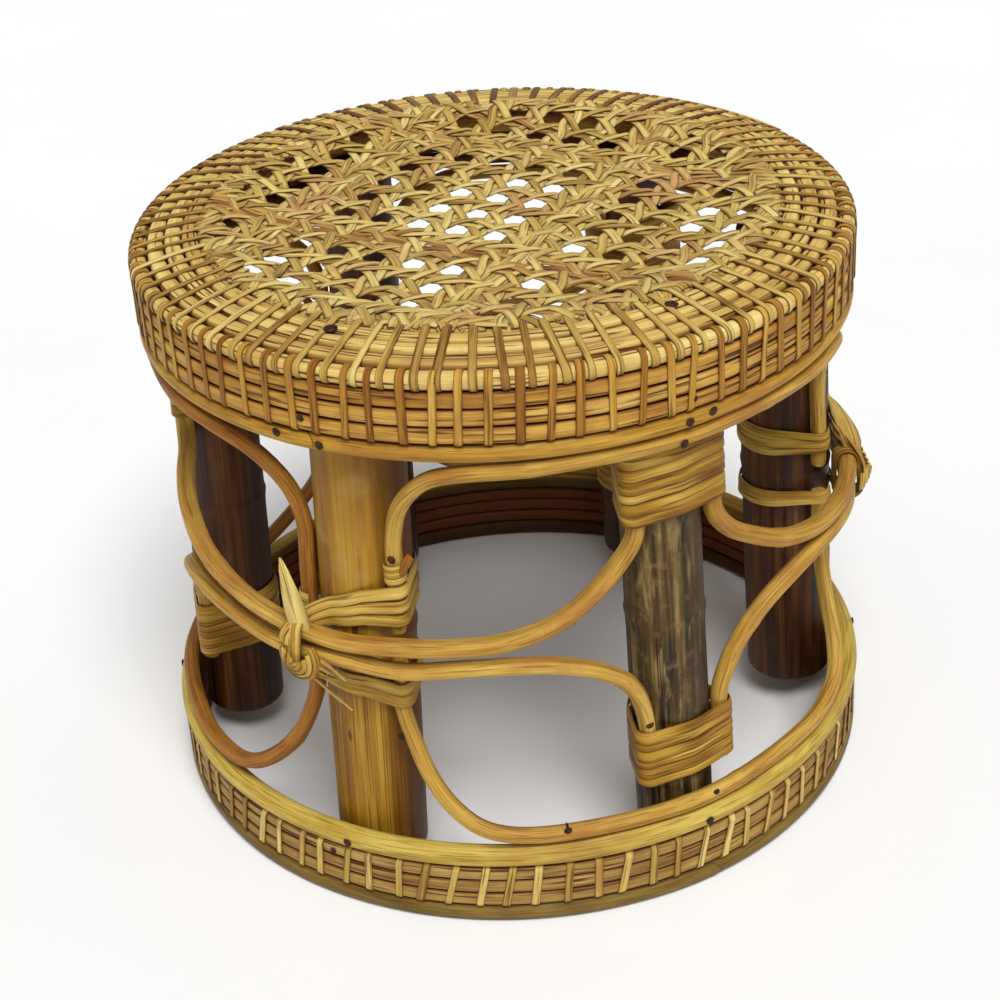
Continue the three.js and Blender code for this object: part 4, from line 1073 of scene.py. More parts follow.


# Straight strips across the seat. Each strip has a direction, its distance from the seat's middle and
# heights and sideways offsets that are functions of how far along it a point is. Its ends lie on the edge's
# circle. A strip gets painted shade where it dips under others and towards its ends by the reeds.
def weaveStrips(rng, direction, offsets, width, heightAt, sideAt=None):
    count = len(offsets)
    edge = weaveLook["edgeRadius"] + rng.uniform(-1, 1, (2, count)) * weaveLook["edgeSpread"]
    reach = np.sqrt(np.maximum(edge ** 2 - offsets ** 2, 1))
    rows = np.linspace(0, 1, weaveLook["rows"])
    along = -reach[0][:, None] + rows * (reach[0] + reach[1])[:, None]
    cross = offsets[:, None] + wander(along, rng, weaveLook["wobbleLength"]) * weaveLook["wobble"]
    cross = cross + rng.uniform(-1, 1, (count, 1)) * weaveLook["wobble"]
    if sideAt is not None:
        cross = cross + sideAt(along, offsets[:, None])
    angle = math.radians(direction - weaveLook["turn"])
    x = along * math.cos(angle) - cross * math.sin(angle)
    y = along * math.sin(angle) + cross * math.cos(angle)
    radius = np.hypot(x, y)
    calm = weaveLook["calm"] * np.clip((radius - weaveLook["calmFrom"]) / weaveLook["calmReach"], 0, 1)
    lift = heightAt(along, offsets[:, None]) * (1 - calm)
    uneven = wander(along, rng, weaveLook["unevenLength"]) * weaveLook["uneven"]
    line = np.stack([x, y, weaveLevel(radius) + lift + uneven], -1)
    # Painted shade where the strip lies low, and towards the reeds at its ends.
    under = np.clip((weaveLook["underShadeFrom"] - lift) / weaveLook["underShadeReach"], 0, 1)
    last = np.clip((radius - weaveLook["edgeShadeFrom"]) / weaveLook["edgeShadeReach"], 0, weaveLook["edgeShade"])
    wide = rng.uniform(*weaveLook["widths"], (count, 1, 1, 1))
    section = stripSection(1.0, weaveLook["thickness"], weaveLook["bow"]) * [1, 0] \
        + stripSection(width, 0.0, 0.0) * [0, 1] * wide
    made, grain = carry(line, upwards, section)
    return skin(made, grain, rng, True, shade=np.clip(under + last, 0, 1)[..., None])


# Three strips share each line midway between two rows of holes: one straight, and two that sway to either
# side of it and cross at every meeting of a column and a row. Two waves of opposite sign make them pass
# over and under.
def bundles(rng, direction, sign, shift, crossShift):
    pitch = weaveLook["pitch"]
    lines = np.arange(-weaveLook["lines"], weaveLook["lines"] + 1)
    middles = (lines + 0.5 + shift) * pitch
    keep = np.abs(middles) < weaveLook["edgeRadius"] - weaveLook["lineMargin"]
    parity = (-1.0) ** lines[keep][:, None] * -sign
    parts = []
    for strand, rise in zip((-1, 0, 1), weaveLook["rise"]):

        # A cosine over two pitches. The straight strip dips by its square instead.
        def heightAt(along, offset):
            wave = np.cos(math.pi * (along / pitch - 0.5 - crossShift))
            if strand == 0:
                return -weaveLook["straightDrop"] - weaveLook["straightWave"] * wave ** 2
            return rise * wave * parity

        # A cosine over two pitches, half a pitch before the heights.
        def sideAt(along, offset):
            return strand * weaveLook["sway"] * np.cos(math.pi * (along / pitch - crossShift))

        offsets = sign * middles[keep]
        parts.append(weaveStrips(rng, direction, offsets, weaveLook["width"], heightAt, sideAt))
    return parts


# Diagonals run halfway between the lines through the holes. They pass over the rows and under the columns,
# or the other way round, in waves flattened by a hyperbolic tangent.
def diagonals(rng, direction):
    pitch, (shiftX, shiftY) = weaveLook["pitch"], weaveLook["shift"]
    step, steep = pitch / math.sqrt(2), weaveLook["diagonalSteep"]
    turned = math.radians(direction)
    across = -shiftX * pitch * math.sin(turned) + shiftY * pitch * math.cos(turned)
    start = shiftX * pitch * math.cos(turned) + shiftY * pitch * math.sin(turned)
    offsets = across + (np.arange(-weaveLook["diagonals"], weaveLook["diagonals"] + 1) + 0.5) * step
    offsets = offsets[np.abs(offsets) < weaveLook["edgeRadius"] - weaveLook["stripMargin"]]

    # Neighbouring diagonals are half a wave apart.
    def heightAt(along, offset):
        line = np.round((offset - across) / step - 0.5)
        wave = np.sin(math.pi * ((along - start) / step - line))
        return weaveLook["diagonalRise"] * (np.tanh(steep * wave) / math.tanh(steep))

    return weaveStrips(rng, direction, offsets, weaveLook["diagonalWidth"], heightAt)


# Closed bands: four strips laid side by side over every sixth row of holes.
def closedBands(rng, direction, sign, closed, shift):
    pitch = weaveLook["pitch"]
    lines = [n for n in range(-weaveLook["lines"], weaveLook["lines"] + 1)
             if (n - closed) % weaveLook["closedPeriod"] == 0]
    beside = np.arange(weaveLook["closedStrips"]) - (weaveLook["closedStrips"] - 1) / 2
    beside = beside * weaveLook["closedSpacing"]
    offsets = ((np.array(lines)[:, None] + shift) * pitch + beside).ravel()
    offsets = offsets[np.abs(offsets) < weaveLook["edgeRadius"] - weaveLook["stripMargin"]]

    # The strips float over two or three crossings, then dive under one: a flattened sine over one and a
    # half pitches, a little lower than even.
    def heightAt(along, offset):
        phase = 2 * math.pi * along / (weaveLook["closedWave"] * pitch) + offset * weaveLook["closedPhase"]
        wave = np.tanh(weaveLook["closedSteep"] * (np.sin(phase) - weaveLook["closedLevel"]))
        return weaveLook["closedRise"] * wave - weaveLook["closedLevel"]

    return weaveStrips(rng, direction, sign * offsets, weaveLook["closedWidth"], heightAt)


# Round the edge the ends of strips fill the sheet: short slanting pieces from the last holes to the reeds.
# They get a little painted shade, as they lie lower.
def rimStrips(rng):
    count, rows = rimLook["strips"], rimLook["rows"]
    radius = rimLook["from"] + np.linspace(0, 1, rows) * (rimLook["to"] - rimLook["from"])
    radius = radius + rng.uniform(-1, 1, (count, 1)) * rimLook["shift"]
    turn = np.arange(count)[:, None] * 360 / count + rng.uniform(-1, 1, (count, 1))
    turn = turn + rng.uniform(-1, 1, (count, 1)) * rimLook["slant"] * np.linspace(-0.5, 0.5, rows)
    drop = rimLook["drop"] * (1 + rng.uniform(0, 1, (count, 1)))
    section = stripSection(weaveLook["width"], rimLook["thickness"], rimLook["bow"])
    made, grain = carry(onRing(turn, radius, weaveLevel(radius) - drop), upwards, section)
    return skin(made, grain, rng, True, shade=rimLook["shade"])


# The whole weave, piece by piece. One strip in four of the dark bands is darker still.
def addWeave():
    rng = np.random.default_rng(weaveLook["seed"])
    shiftX, shiftY = weaveLook["shift"]
    caning = skins["caningSkin"]
    addPiece("seat_weave_columns", bundles(rng, 90, -1, shiftX, shiftY), caning, ["cane_panel"])
    addPiece("seat_weave_rows", bundles(rng, 0, 1, shiftY, shiftX), caning)
    addPiece("seat_weave_diagonals_right", [diagonals(rng, 45)], caning)
    addPiece("seat_weave_diagonals_left", [diagonals(rng, -45)], caning)
    light = closedBands(rng, 90, -1, weaveLook["closedColumn"], shiftX)
    dark = closedBands(rng, 0, 1, weaveLook["closedRow"], shiftY)
    dark["trait"][1::4, ..., 1] += weaveLook["darkTint"]
    addPiece("seat_weave_light_bands", [light], caning)
    addPiece("seat_weave_dark_bands", [dark], skins["darkBand"])
    addPiece("seat_weave_rim", [rimStrips(rng)], caning)


addWeave()
print("weave ready")


# Lashings: strips that cross the reeds. Their paths are drawn in a plane through the stool's axis. Tilts,
# beside and spreads are degrees of turn, lift is the gap over the reeds and close what is added where a
# strip is tucked in.
lashLook = {
    "strips": 85, "baseStrips": 82, "width": 3.9, "thickness": 0.6, "bow": 0.2, "lift": 0.4, "close": 0.45,
    "rows": 36, "seed": 131, "topTilt": 0.6, "wallTilt": -0.5, "baseTilt": -1.3, "beside": -1.5,
    "turnSpread": 0.45, "tiltSpread": 0.9, "widths": (0.8, 1.12), "endShadeShare": 0.07, "rearFrom": 0.1,
    "rearTint": -1.3, "faceRows": 5, "shoulderArc": (90, 62, 34, 6, -22, -48), "footArc": (-25, -45, -64),
    "riseArc": (205, 170, 135, 100, 65, 34, 8), "headArc": (64, 45, 25), "inner": (5.5, 0.4),
    "crownTuck": (1.6, 0.1), "wallTuck": (1.2, 0.15), "baseTuck": (1.0, 0.15),
}


# Points of an arc round a reed's middle, in the plane. An angle of 90 is up and 0 is outwards.
def arcPoints(radius, height, reach, angles):
    return [[radius + reach * math.cos(math.radians(a)), 0, height + reach * math.sin(math.radians(a))]
            for a in angles]


# The same path repeated round the stool, each strip with its own small slant, width and tint. The rear ones
# can be darker. Both ends, where a strip is tucked in, get painted shade.
def lashStrips(rng, path, count, startTurn, tilt, rearTint=0.0):
    plane = smoothLine(path, lashLook["rows"])
    ahead = np.gradient(plane, axis=0)
    normal = np.stack([-ahead[:, 2], ahead[:, 0]], -1) / np.linalg.norm(ahead, axis=-1)[:, None]
    turn = startTurn + np.arange(count)[:, None] * 360 / count
    turn = turn + rng.uniform(-1, 1, (count, 1)) * lashLook["turnSpread"]
    slant = tilt + rng.uniform(-1, 1, (count, 1)) * lashLook["tiltSpread"]
    turn = turn + slant * np.linspace(-0.5, 0.5, lashLook["rows"])
    lines = onRing(turn, plane[:, 0], plane[:, 2])
    outs = onRing(turn, normal[:, 0], normal[:, 1])
    wide = rng.uniform(*lashLook["widths"], (count, 1, 1, 1))
    section = stripSection(lashLook["width"], lashLook["thickness"], lashLook["bow"])
    section = section * np.concatenate([np.ones_like(wide), wide], -1)
    made, grain = carry(lines, outs, section)
    rows = np.linspace(0, 1, lashLook["rows"])
    # Painted shade at the tucked ends.
    deep = np.clip(1 - np.minimum(rows, 1 - rows) / lashLook["endShadeShare"], 0, 1)
    rear = np.clip(lashLook["rearFrom"] - np.cos(np.radians(turn[:, :1, None])), 0, 1)
    tint = rng.uniform(-1, 1, (count, 1, 1)) + rearTint * rear
    return skin(made, grain, rng, True, tint=tint, shade=deep[:, None])


# The lashings of the crown, of the wall and of the base ring: each path goes along the reeds' outer faces,
# and its ends are tucked between two of them.
def addLashings():
    rng = np.random.default_rng(lashLook["seed"])
    reach = stool["borderReed"] / 2 + lashLook["lift"]
    reeds = [reedRadius - level * borderReedStep for level in range(stool["borderTurns"])]
    inner = [[reeds[-1] - lashLook["inner"][0], 0, weaveHeight - lashLook["inner"][1]]]
    crown = [[radius, 0, float(borderHeight(radius)) + reach] for radius in reeds[:0:-1]]
    shoulder = arcPoints(reedRadius, shoulderHeight, reach, lashLook["shoulderArc"])
    out, gap = lashLook["crownTuck"]
    tuck = [[reedRadius + out, 0, shoulderHeight - stool["borderReed"] / 2 - gap]]
    path = inner + crown + shoulder + tuck
    top = lashStrips(rng, path, lashLook["strips"], 0, lashLook["topTilt"], lashLook["rearTint"])
    addPiece("border_lashing", [top], skins["crownStrip"])

    rows = lashLook["faceRows"]
    rise = arcPoints(reedRadius, shoulderHeight, reach, lashLook["riseArc"])
    face = [[reedRadius + reach, 0, height] for height in np.linspace(wallTopHeight, wallHeight, rows)]
    foot = arcPoints(reedRadius, wallHeight, reach + lashLook["close"], lashLook["footArc"])
    out, gap = lashLook["wallTuck"]
    tuck = [[reedRadius + out, 0, wallHeight - stool["wallReed"] / 2 - gap]]
    path = rise + face + foot + tuck
    wall = lashStrips(rng, path, lashLook["strips"], lashLook["beside"], lashLook["wallTilt"])
    addPiece("wall_lashing", [wall], skins["lashStrip"])

    reach = stool["baseReed"] / 2 + lashLook["lift"]
    low, high = baseCoilHeight, baseCoilHeight + (stool["baseTurns"] - 1) * baseReedStep
    out, gap = lashLook["baseTuck"]
    first = [[baseHoopRadius + out, 0, high + stool["baseReed"] / 2 + gap]]
    head = arcPoints(baseHoopRadius, high, reach + lashLook["close"], lashLook["headArc"])
    face = [[baseHoopRadius + reach, 0, height] for height in np.linspace(high, low, rows)]
    foot = arcPoints(baseHoopRadius, low, reach + lashLook["close"], lashLook["footArc"])
    last = [[baseHoopRadius + out, 0, low - stool["baseReed"] / 2 - gap]]
    path = first + head + face + foot + last
    base = lashStrips(rng, path, lashLook["baseStrips"], 1, lashLook["baseTilt"])
    addPiece("base_lashing", [base], skins["crownStrip"])


addLashings()
print("lashings ready")


# Bindings: strips wound round a leg and the two canes beside it. Overlap and the waves are shares of a
# turn's rise or width, and shares are heights from the bows up to the arches.
bindLook = {
    "turns": 6, "rowsPerTurn": 72, "seed": 151, "topShares": (0.79, 0.966), "bottomShares": (0.06, 0.215),
    "thickness": 0.8, "bow": 0.15, "lift": 0.85, "slant": 0.42, "overlap": 1.16,
    "riseWave": (0.12, 2.6), "widthWave": (0.14, 3.7), "uneven": 0.15, "unevenLength": 90,
    "widthUneven": 0.04, "widthLength": 160, "tint": 0.9, "tintLength": 150, "tintStep": 2.5,
    "leadWidth": 0.72, "phase": 6,
}


# A taut band round discs in a plane: the outermost disc in each direction carries the band. Gives points
# spread evenly by length, and the directions outwards, both from startAngle on, for each of the wanted
# levels in turns.
def bandRound(discs, offset, startAngle, levels):
    angle = np.linspace(0, 2 * math.pi, 361) + startAngle
    direction = np.stack([np.cos(angle), np.sin(angle)], -1)
    middles, radii = np.array([disc[0] for disc in discs]), np.array([disc[1] for disc in discs])
    best = np.argmax(direction @ middles.T + radii, axis=1)
    points = middles[best] + direction * (radii[best] + offset)[:, None]
    along = np.concatenate([[0], np.cumsum(np.linalg.norm(np.diff(points, axis=0), axis=1))])
    wanted = np.mod(levels, 1.0) * along[-1]
    place = np.stack([np.interp(wanted, along, points[:, axis]) for axis in range(2)], -1)
    turned = np.interp(wanted, along, angle)
    return place, np.stack([np.cos(turned), np.sin(turned)], -1)


# A strip wound round a leg and the cane ends beside it. heightAt and widthAt take the level in turns and
# how far to the right of the leg's middle a point lies, in leg radii. A lead is a point, a slope and an
# outward direction from which the strip comes, along a bridge.
def legWinding(leg, cane, middle, turns, rng, lift, heightAt, widthAt, first=0.0, lead=None):
    levels = np.linspace(first, first + turns, int(bindLook["rowsPerTurn"] * turns))
    run = levels * 180
    turn, radius = legMiddle(leg, middle)
    centre = onRing(turn, radius, 0)[:2]
    discs = [(np.zeros(2), leg["pole"] / 2)]
    discs += [(pointBeside(leg, cane, side, middle)[:2] - centre, cane / 2) for side in (-1, 1)]
    place, outward = bandRound(discs, lift, math.radians(turn) + math.pi / 2, levels)
    side = place @ onRing(turn + 90, 1, 0)[:2] / (leg["pole"] / 2)
    height = heightAt(levels, side) + wander(run, rng, bindLook["unevenLength"]) * bindLook["uneven"]
    foot = onRing(*legMiddle(leg, height), 0)[:, :2]
    lines = np.concatenate([foot + place, height[:, None]], -1)
    outs = np.concatenate([outward, np.zeros((len(levels), 1))], -1)
    width = 1 + wander(run, rng, bindLook["widthLength"]) * bindLook["widthUneven"]
    width = widthAt(levels, side) * width
    if lead is not None:
        start, leaving, leadOut = lead
        ahead = lines[2] - lines[0]
        come = bridge(start, leaving, lines[0], ahead / np.linalg.norm(ahead) * np.linalg.norm(leaving))
        share = np.linspace(0, 1, len(come))[:, None]
        lines = np.vstack([come, lines])
        outs = np.vstack([leadOut * (1 - share) + outs[0] * share, outs])
        widening = bindLook["leadWidth"] + (1 - bindLook["leadWidth"]) * share[:, 0]
        width = np.concatenate([width[0] * widening, width])
    flat = stripSection(2.0, 0.0, 0.0)[None, :, 1]
    out = stripSection(1.0, bindLook["thickness"], bindLook["bow"])[None, :, 0] + flat * bindLook["slant"]
    section = np.stack(np.broadcast_arrays(out, flat * width[:, None] / 2), -1)
    made, grain = carry(lines, outs, section)
    rows = np.arange(len(lines)) * bindLook["tintStep"]
    tint = wander(rows, rng, bindLook["tintLength"]) * bindLook["tint"]
    return skin(made, grain, rng, True, tint=tint[:, None])


# A binding's turns overlap like shingles, and some are wider than others: its rise and its width follow
# sines.
def addBinding(name, leg, cane, shares, number):
    rng = np.random.default_rng(bindLook["seed"] + number)
    low, high = heightOf(shares[0]), heightOf(shares[1])
    rise = (high - low) / bindLook["turns"]
    wide = rise * bindLook["overlap"]
    phase = rng.uniform(0, bindLook["phase"])

    # A sine of the level: its height, and how fast it goes.
    def waveOf(level, reach, speed):
        return reach * np.sin(level * speed + phase)

    winding = legWinding(leg, cane, (low + high) / 2, bindLook["turns"], rng, bindLook["lift"],
                         lambda level, side: low + (level + waveOf(level, *bindLook["riseWave"])) * rise,
                         lambda level, side: wide * (1 + waveOf(level, *bindLook["widthWave"])))
    addPiece(name + "_strips", [winding], skins["bindStrip"], [name])


for number, leg in enumerate(bindingLegs, 1):
    for label, cane, seed in (("top", "garlandCane", number), ("bottom", "lowerArchCane", number + 3)):
        addBinding(f"{label}_binding_{number}", leg, stool[cane], bindLook[label + "Shares"], seed)
print("bindings ready")


# Knots: a lashing round the two crossing canes with a ball in front, bands that sweep from it round the
# leg, its standing leaf, a flap and loose splinters. Offset is how far left of its leg a knot sits.
knotLook = {
    "offset": 19.0, "turns": 3, "rowsPerTurn": 64, "bandSeed": 171, "seed": 191, "pitch": 4.4, "width": 5.6,
    "thickness": 0.9, "bow": 0.3, "lift": 1.0, "layer": 0.6, "belly": 5.4, "bellyPlace": (1.2, -1.8),
    "centred": 0.56, "spread": (0.72, 0.38),
}
ballLook = {
    "reaches": (10.2, 8.0, 5.8, 3.6, 1.4), "width": 4.3, "rows": 60, "from": (168, -12), "to": (402, -10),
    "out": 1.5, "across": 1.8, "dome": 4.6, "domeReach": 12.5, "layer": 0.3, "tall": 1.08, "uneven": 0.25,
    "facing": (0.75, 0.25, 13), "taper": ((0, 0.2, 0.85, 1), (0.7, 1, 1, 0.7)), "unevenLength": 200,
    "thickness": 0.8, "bow": 0.35,
}
leafLook = {
    "width": 11.6, "rows": 26, "taper": ((0, 0.12, 0.3, 0.6, 0.85, 1), (0.8, 1, 0.98, 0.7, 0.4, 0.1)),
    "out": 3.4, "sunk": 3.0, "across": 1.5, "bulge": 1.2, "bulgeTurn": 2.4, "inwardPower": 1.3,
    "leanPower": 1.4, "thickness": 0.8, "bow": 0.5,
}
flapLook = {"length": 18, "drop": 5.5, "dropPower": 1.2, "out": 1.4, "up": 0.5, "across": 9,
            "facing": (0.9, 0.3), "thickness": 0.7, "taper": ((0, 0.25, 1), (2.4, 3.0, 0.3))}
splinterLook = {"count": 4, "out": (3.6, -0.5), "up": (-11, -0.7), "across": 6, "drop": (7, 15),
                "dropPower": 1.1, "reach": (9, 20), "inward": 2.5, "inwardPower": 1.5, "half": (0.7, 1.1),
                "thickness": 0.6, "bow": 0.1, "taper": ((0, 0.6, 1), (1, 0.9, 0.35))}
archWrapLook = {"turns": 3, "rows": 150, "from": 178, "middle": 182, "rise": 3.3, "lift": 0.75,
                "width": 3.6, "thickness": 0.7, "bow": 0.2}
cutEndLook = {"rows": 12, "height": 184, "across": (3.8, 6.4), "out": 1.5, "up": 10.5, "thickness": 1.8,
              "bow": 0.6, "taper": ((0, 0.7, 1), (1.9, 2.3, 2.0))}

# The bands above and below. Middles and pitches are heights and strip steps at four places across the leg's
# front, which are the sides below in leg radii. Each pair of a start is a value and what each next strand
# adds to it: in turn, outwards and up from the crossed cane. Leaving is the slope there, up, across and
# outwards, and steeper is what each next strand adds to its way up. Home is where the strips end, above the
# same cane.
bandLook = {
    "upper": {"cane": "archCane", "crossed": "garlandCane", "strands": 3, "home": 7,
              "middles": (160.0, 160.6, 165.3, 167.0), "pitches": (5.0, 4.9, 6.2, 7.4),
              "startTurn": (-1.9, 0.5), "startOut": (3.8, -0.4), "startUp": (-3.5, -1.3),
              "leaving": (30, -2, 3), "steeper": 0},
    "lower": {"cane": "bowCane", "crossed": "lowerArchCane", "strands": 2, "home": -13,
              "middles": (125.5, 124.0, 122.5, 119.0), "pitches": (4.0, 4.8, 5.4, 6.4),
              "startTurn": (1.6, 0), "startOut": (-1.2, 0), "startUp": (-6.4, -2.2),
              "leaving": (-2, 16, -2), "steeper": -4},
}
windLook = {"sides": (-1.2, -0.3, 0.4, 1.1), "first": 0.47, "turns": 0.9, "backFrom": 1.12,
            "backReach": 0.24, "homeStep": 2.4, "widest": 6.4, "overlap": 0.3, "layer": 0.25}

# What each knot has of its own: how much higher its bands, their ends and its ball lie, and its leaf.
knots = [
    {"upper": 0, "lower": 0, "home": 0, "ball": 0.6,
     "leaf": {"length": 37, "lean": -7.0, "inward": -1.0, "facing": 14}},
    {"upper": 4, "lower": 6, "home": 8, "ball": 4.6,
     "leaf": {"length": 33, "lean": 2.0, "inward": -15.0, "facing": -52}},
    {"upper": 0, "lower": 0, "home": 0, "ball": 0.6,
     "leaf": {"length": 34, "lean": -5.0, "inward": -2.0, "facing": 6}},
]


# Where a cane's line passes a turn: its radius and height there.
def passing(line, turn):
    turns = np.degrees(np.arctan2(line[:, 0], -line[:, 1]))
    index = np.argmin(np.abs((turns - turn + 180) % 360 - 180))
    return math.hypot(line[index, 0], line[index, 1]), line[index, 2]


# The turn of a knot, left of its leg, its directions outwards and across, and the two canes' places there.
def knotPlace(leg, lines):
    height, radius = crossing(leg)[0]
    turn = legMiddle(leg, height)[0] - math.degrees(knotLook["offset"] / radius)
    return turn, onRing(turn, 1, 0), onRing(turn + 90, 1, 0), [passing(line, turn) for line in lines]


# Each strip of a band leaves the knot's front, sweeps over or under the canes onto the leg, winds round it
# and comes back to the knot from behind.
def addKnotBands(number, leg, lines):
    rng = np.random.default_rng(knotLook["bandSeed"] + number)
    turn, out, across, places = knotPlace(leg, lines)
    own = knots[number - 1]
    for (label, band), (radius, height) in zip(bandLook.items(), places):
        home = height + band["home"] + own["home"]
        face = radius + stool[band["crossed"]] / 2
        middle = float(np.mean(band["middles"]))
        strips = []
        for strand in range(band["strands"]):
            place = (band["strands"] - 1) / 2 - strand
            startTurn, startOut, startUp = [band[key][0] + strand * band[key][1]
                                            for key in ("startTurn", "startOut", "startUp")]
            rise, aside, outwards = band["leaving"]
            leaving = upwards * (rise + strand * band["steeper"]) + across * aside + out * outwards

            # Round the front a strip keeps its place in the band, and behind the leg it eases over to its
            # end.
            def heightAt(level, side):
                pitch = np.interp(side, windLook["sides"], band["pitches"])
                front = np.interp(side, windLook["sides"], band["middles"]) + place * pitch + own[label]
                back = ease(np.clip((level - windLook["backFrom"]) / windLook["backReach"], 0, 1))
                return front + (home + place * windLook["homeStep"] - front) * back

            # A strip is a little wider than the step to the next one.
            def widthAt(level, side):
                pitch = np.interp(side, windLook["sides"], band["pitches"])
                return np.minimum(windLook["widest"], pitch + windLook["overlap"])

            lead = onRing(turn + startTurn, face + startOut, height + startUp), leaving, out
            lift = bindLook["lift"] + windLook["layer"] * (strand % 2)
            strips.append(legWinding(leg, stool[band["cane"]], middle, windLook["turns"], rng, lift,
                                     heightAt, widthAt, windLook["first"], lead))
        name = f"knot_band_{label}_{number}"
        addPiece(name + "_strips", strips, skins["stripSkin"], [name])


# A flat tapering strip along a curve. half gives its half width at each point.
def taperedStrip(line, outs, half, thickness, rng, bow=0.3):
    flat = stripSection(2.0, 0.0, 0.0)[None, :, 1]
    out = stripSection(1.0, thickness, 0.0)[None, :, 0] + bow * (1 - flat ** 2)
    made, grain = carry(line, outs, np.stack(np.broadcast_arrays(out, flat * half[:, None]), -1))
    return skin(made, grain, rng, True)


# The lashing: a strip wound round both canes and the belly below them. Each turn lies a layer further out
# and a pitch further across, less above than below.
def knotLashing(rng, out, across, upper, lower):
    belly = np.array(lower) + knotLook["bellyPlace"]
    discs = [(np.array(upper), stool["garlandCane"] / 2), (np.array(lower), stool["lowerArchCane"] / 2),
             (belly, knotLook["belly"])]
    levels = np.linspace(0, knotLook["turns"], knotLook["rowsPerTurn"] * knotLook["turns"])
    place, outward = bandRound(discs, knotLook["lift"], 0, levels)
    place = place + outward * (levels * knotLook["layer"])[:, None]
    spread = knotLook["spread"][0] - knotLook["spread"][1] * outward[:, 1]
    shift = (levels - knotLook["turns"] * knotLook["centred"]) * knotLook["pitch"] * spread
    path = place[:, :1] * out + place[:, 1:] * upwards + shift[:, None] * across
    outs = outward[:, :1] * out + outward[:, 1:] * upwards
    made, grain = carry(path, outs, stripSection(knotLook["width"], knotLook["thickness"], knotLook["bow"]))
    return skin(made, grain, rng, True)


# The ball in front of it: a strip coiled into nested open rings on a dome, from the outermost inwards.
def ballRings(rng, out, across, lower, rise):
    centre = out * (lower[0] + stool["lowerArchCane"] / 2 + ballLook["out"]) + across * ballLook["across"] \
        + upwards * (lower[1] + rise)
    half = ballLook["width"] / 2 * np.interp(np.linspace(0, 1, ballLook["rows"]), *ballLook["taper"])
    rings = []
    for ring, reach in enumerate(ballLook["reaches"]):
        start, end = [ballLook[key][0] + ring * ballLook[key][1] for key in ("from", "to")]
        angle = np.radians(np.linspace(start, end, ballLook["rows"]))
        wobble = reach + wander(np.degrees(angle), rng, ballLook["unevenLength"]) * ballLook["uneven"]
        ringOut = across * np.cos(angle)[:, None] + upwards * np.sin(angle)[:, None]
        dome = ballLook["dome"] * (1 - (reach / ballLook["domeReach"]) ** 2) + ballLook["layer"] * ring
        path = centre + ringOut * wobble[:, None] * [1, 1, ballLook["tall"]] + out * dome
        ahead, aside, flatness = ballLook["facing"]
        outs = out * ahead + ringOut * (aside + reach / flatness)
        rings.append(taperedStrip(path, outs, half, ballLook["thickness"], rng, ballLook["bow"]))
    return rings


# The leaf stands on the upper cane, wide at its foot and narrowing late. It leans aside and inwards by
# powers of the way up.
def leafStrip(rng, turn, out, across, upper, leaf):
    share = np.linspace(0, 1, leafLook["rows"])
    foot = out * (upper[0] + leafLook["out"]) + across * leafLook["across"] \
        + upwards * (upper[1] + stool["garlandCane"] / 2 - leafLook["sunk"])
    bulge = np.sin(share * leafLook["bulgeTurn"]) * leafLook["bulge"]
    inward = bulge + share ** leafLook["inwardPower"] * leaf["inward"]
    aside = share ** leafLook["leanPower"] * leaf["lean"]
    line = foot + upwards * (share * leaf["length"])[:, None] + across * aside[:, None] \
        + out * inward[:, None]
    half = leafLook["width"] / 2 * np.interp(share, *leafLook["taper"])
    facing = onRing(turn + leaf["facing"], 1, 0)
    return taperedStrip(line, facing, half, leafLook["thickness"], rng, leafLook["bow"])


# A pointed flap lies on the lower cane, and thin splinters hang below it.
def looseStrips(rng, out, across, lower):
    share = np.linspace(0, 1, leafLook["rows"])
    start = out * (lower[0] + stool["lowerArchCane"] / 2 + flapLook["out"]) \
        + upwards * (lower[1] + flapLook["up"]) + across * flapLook["across"]
    line = start + across * (share * flapLook["length"])[:, None] \
        - upwards * (share ** flapLook["dropPower"] * flapLook["drop"])[:, None]
    facing = out * flapLook["facing"][0] + upwards * flapLook["facing"][1]
    half = np.interp(share, *flapLook["taper"])
    loose = [taperedStrip(line, facing, half, flapLook["thickness"], rng)]
    for splinter in range(splinterLook["count"]):
        away, rise = [splinterLook[key][0] + splinter * splinterLook[key][1] for key in ("out", "up")]
        start = out * (lower[0] + away) + upwards * (lower[1] + rise) + across * splinterLook["across"]
        drop, reach = rng.uniform(*splinterLook["drop"]), rng.uniform(*splinterLook["reach"])
        inward = share ** splinterLook["inwardPower"] * splinterLook["inward"]
        line = start - upwards * (share ** splinterLook["dropPower"] * drop)[:, None] \
            + across * (share * reach)[:, None] - out * inward[:, None]
        half = rng.uniform(*splinterLook["half"]) * np.interp(share, *splinterLook["taper"])
        loose.append(taperedStrip(line, out, half, splinterLook["thickness"], rng, splinterLook["bow"]))
    return loose


# A thin strip is wound round the arch's end above the band.
def archWrap(rng, leg):
    levels = np.linspace(0, archWrapLook["turns"], archWrapLook["rows"])
    height = archWrapLook["from"] + levels * archWrapLook["rise"]
    angle = levels * 2 * math.pi
    reach = stool["archCane"] / 2 + archWrapLook["lift"]
    centre = pointBeside(leg, stool["archCane"], 1, archWrapLook["middle"]) * [1, 1, 0]
    outs = np.stack([np.cos(angle), np.sin(angle), 0 * angle], -1)
    section = stripSection(archWrapLook["width"], archWrapLook["thickness"], archWrapLook["bow"])
    made, grain = carry(centre + outs * reach + height[:, None] * upwards, outs, section)
    return skin(made, grain, rng, True)


# The cut end of the bands' strip stands up beside the arch.
def cutEnd(rng, leg, out, across):
    share = np.linspace(0, 1, cutEndLook["rows"])
    foot = pointBeside(leg, stool["archCane"], 1, cutEndLook["height"]) + across * cutEndLook["across"][0] \
        + out * cutEndLook["out"]
    line = foot + (across * cutEndLook["across"][1] + upwards * cutEndLook["up"]) * share[:, None]
    half = np.interp(share, *cutEndLook["taper"])
    return taperedStrip(line, out, half, cutEndLook["thickness"], rng, cutEndLook["bow"])


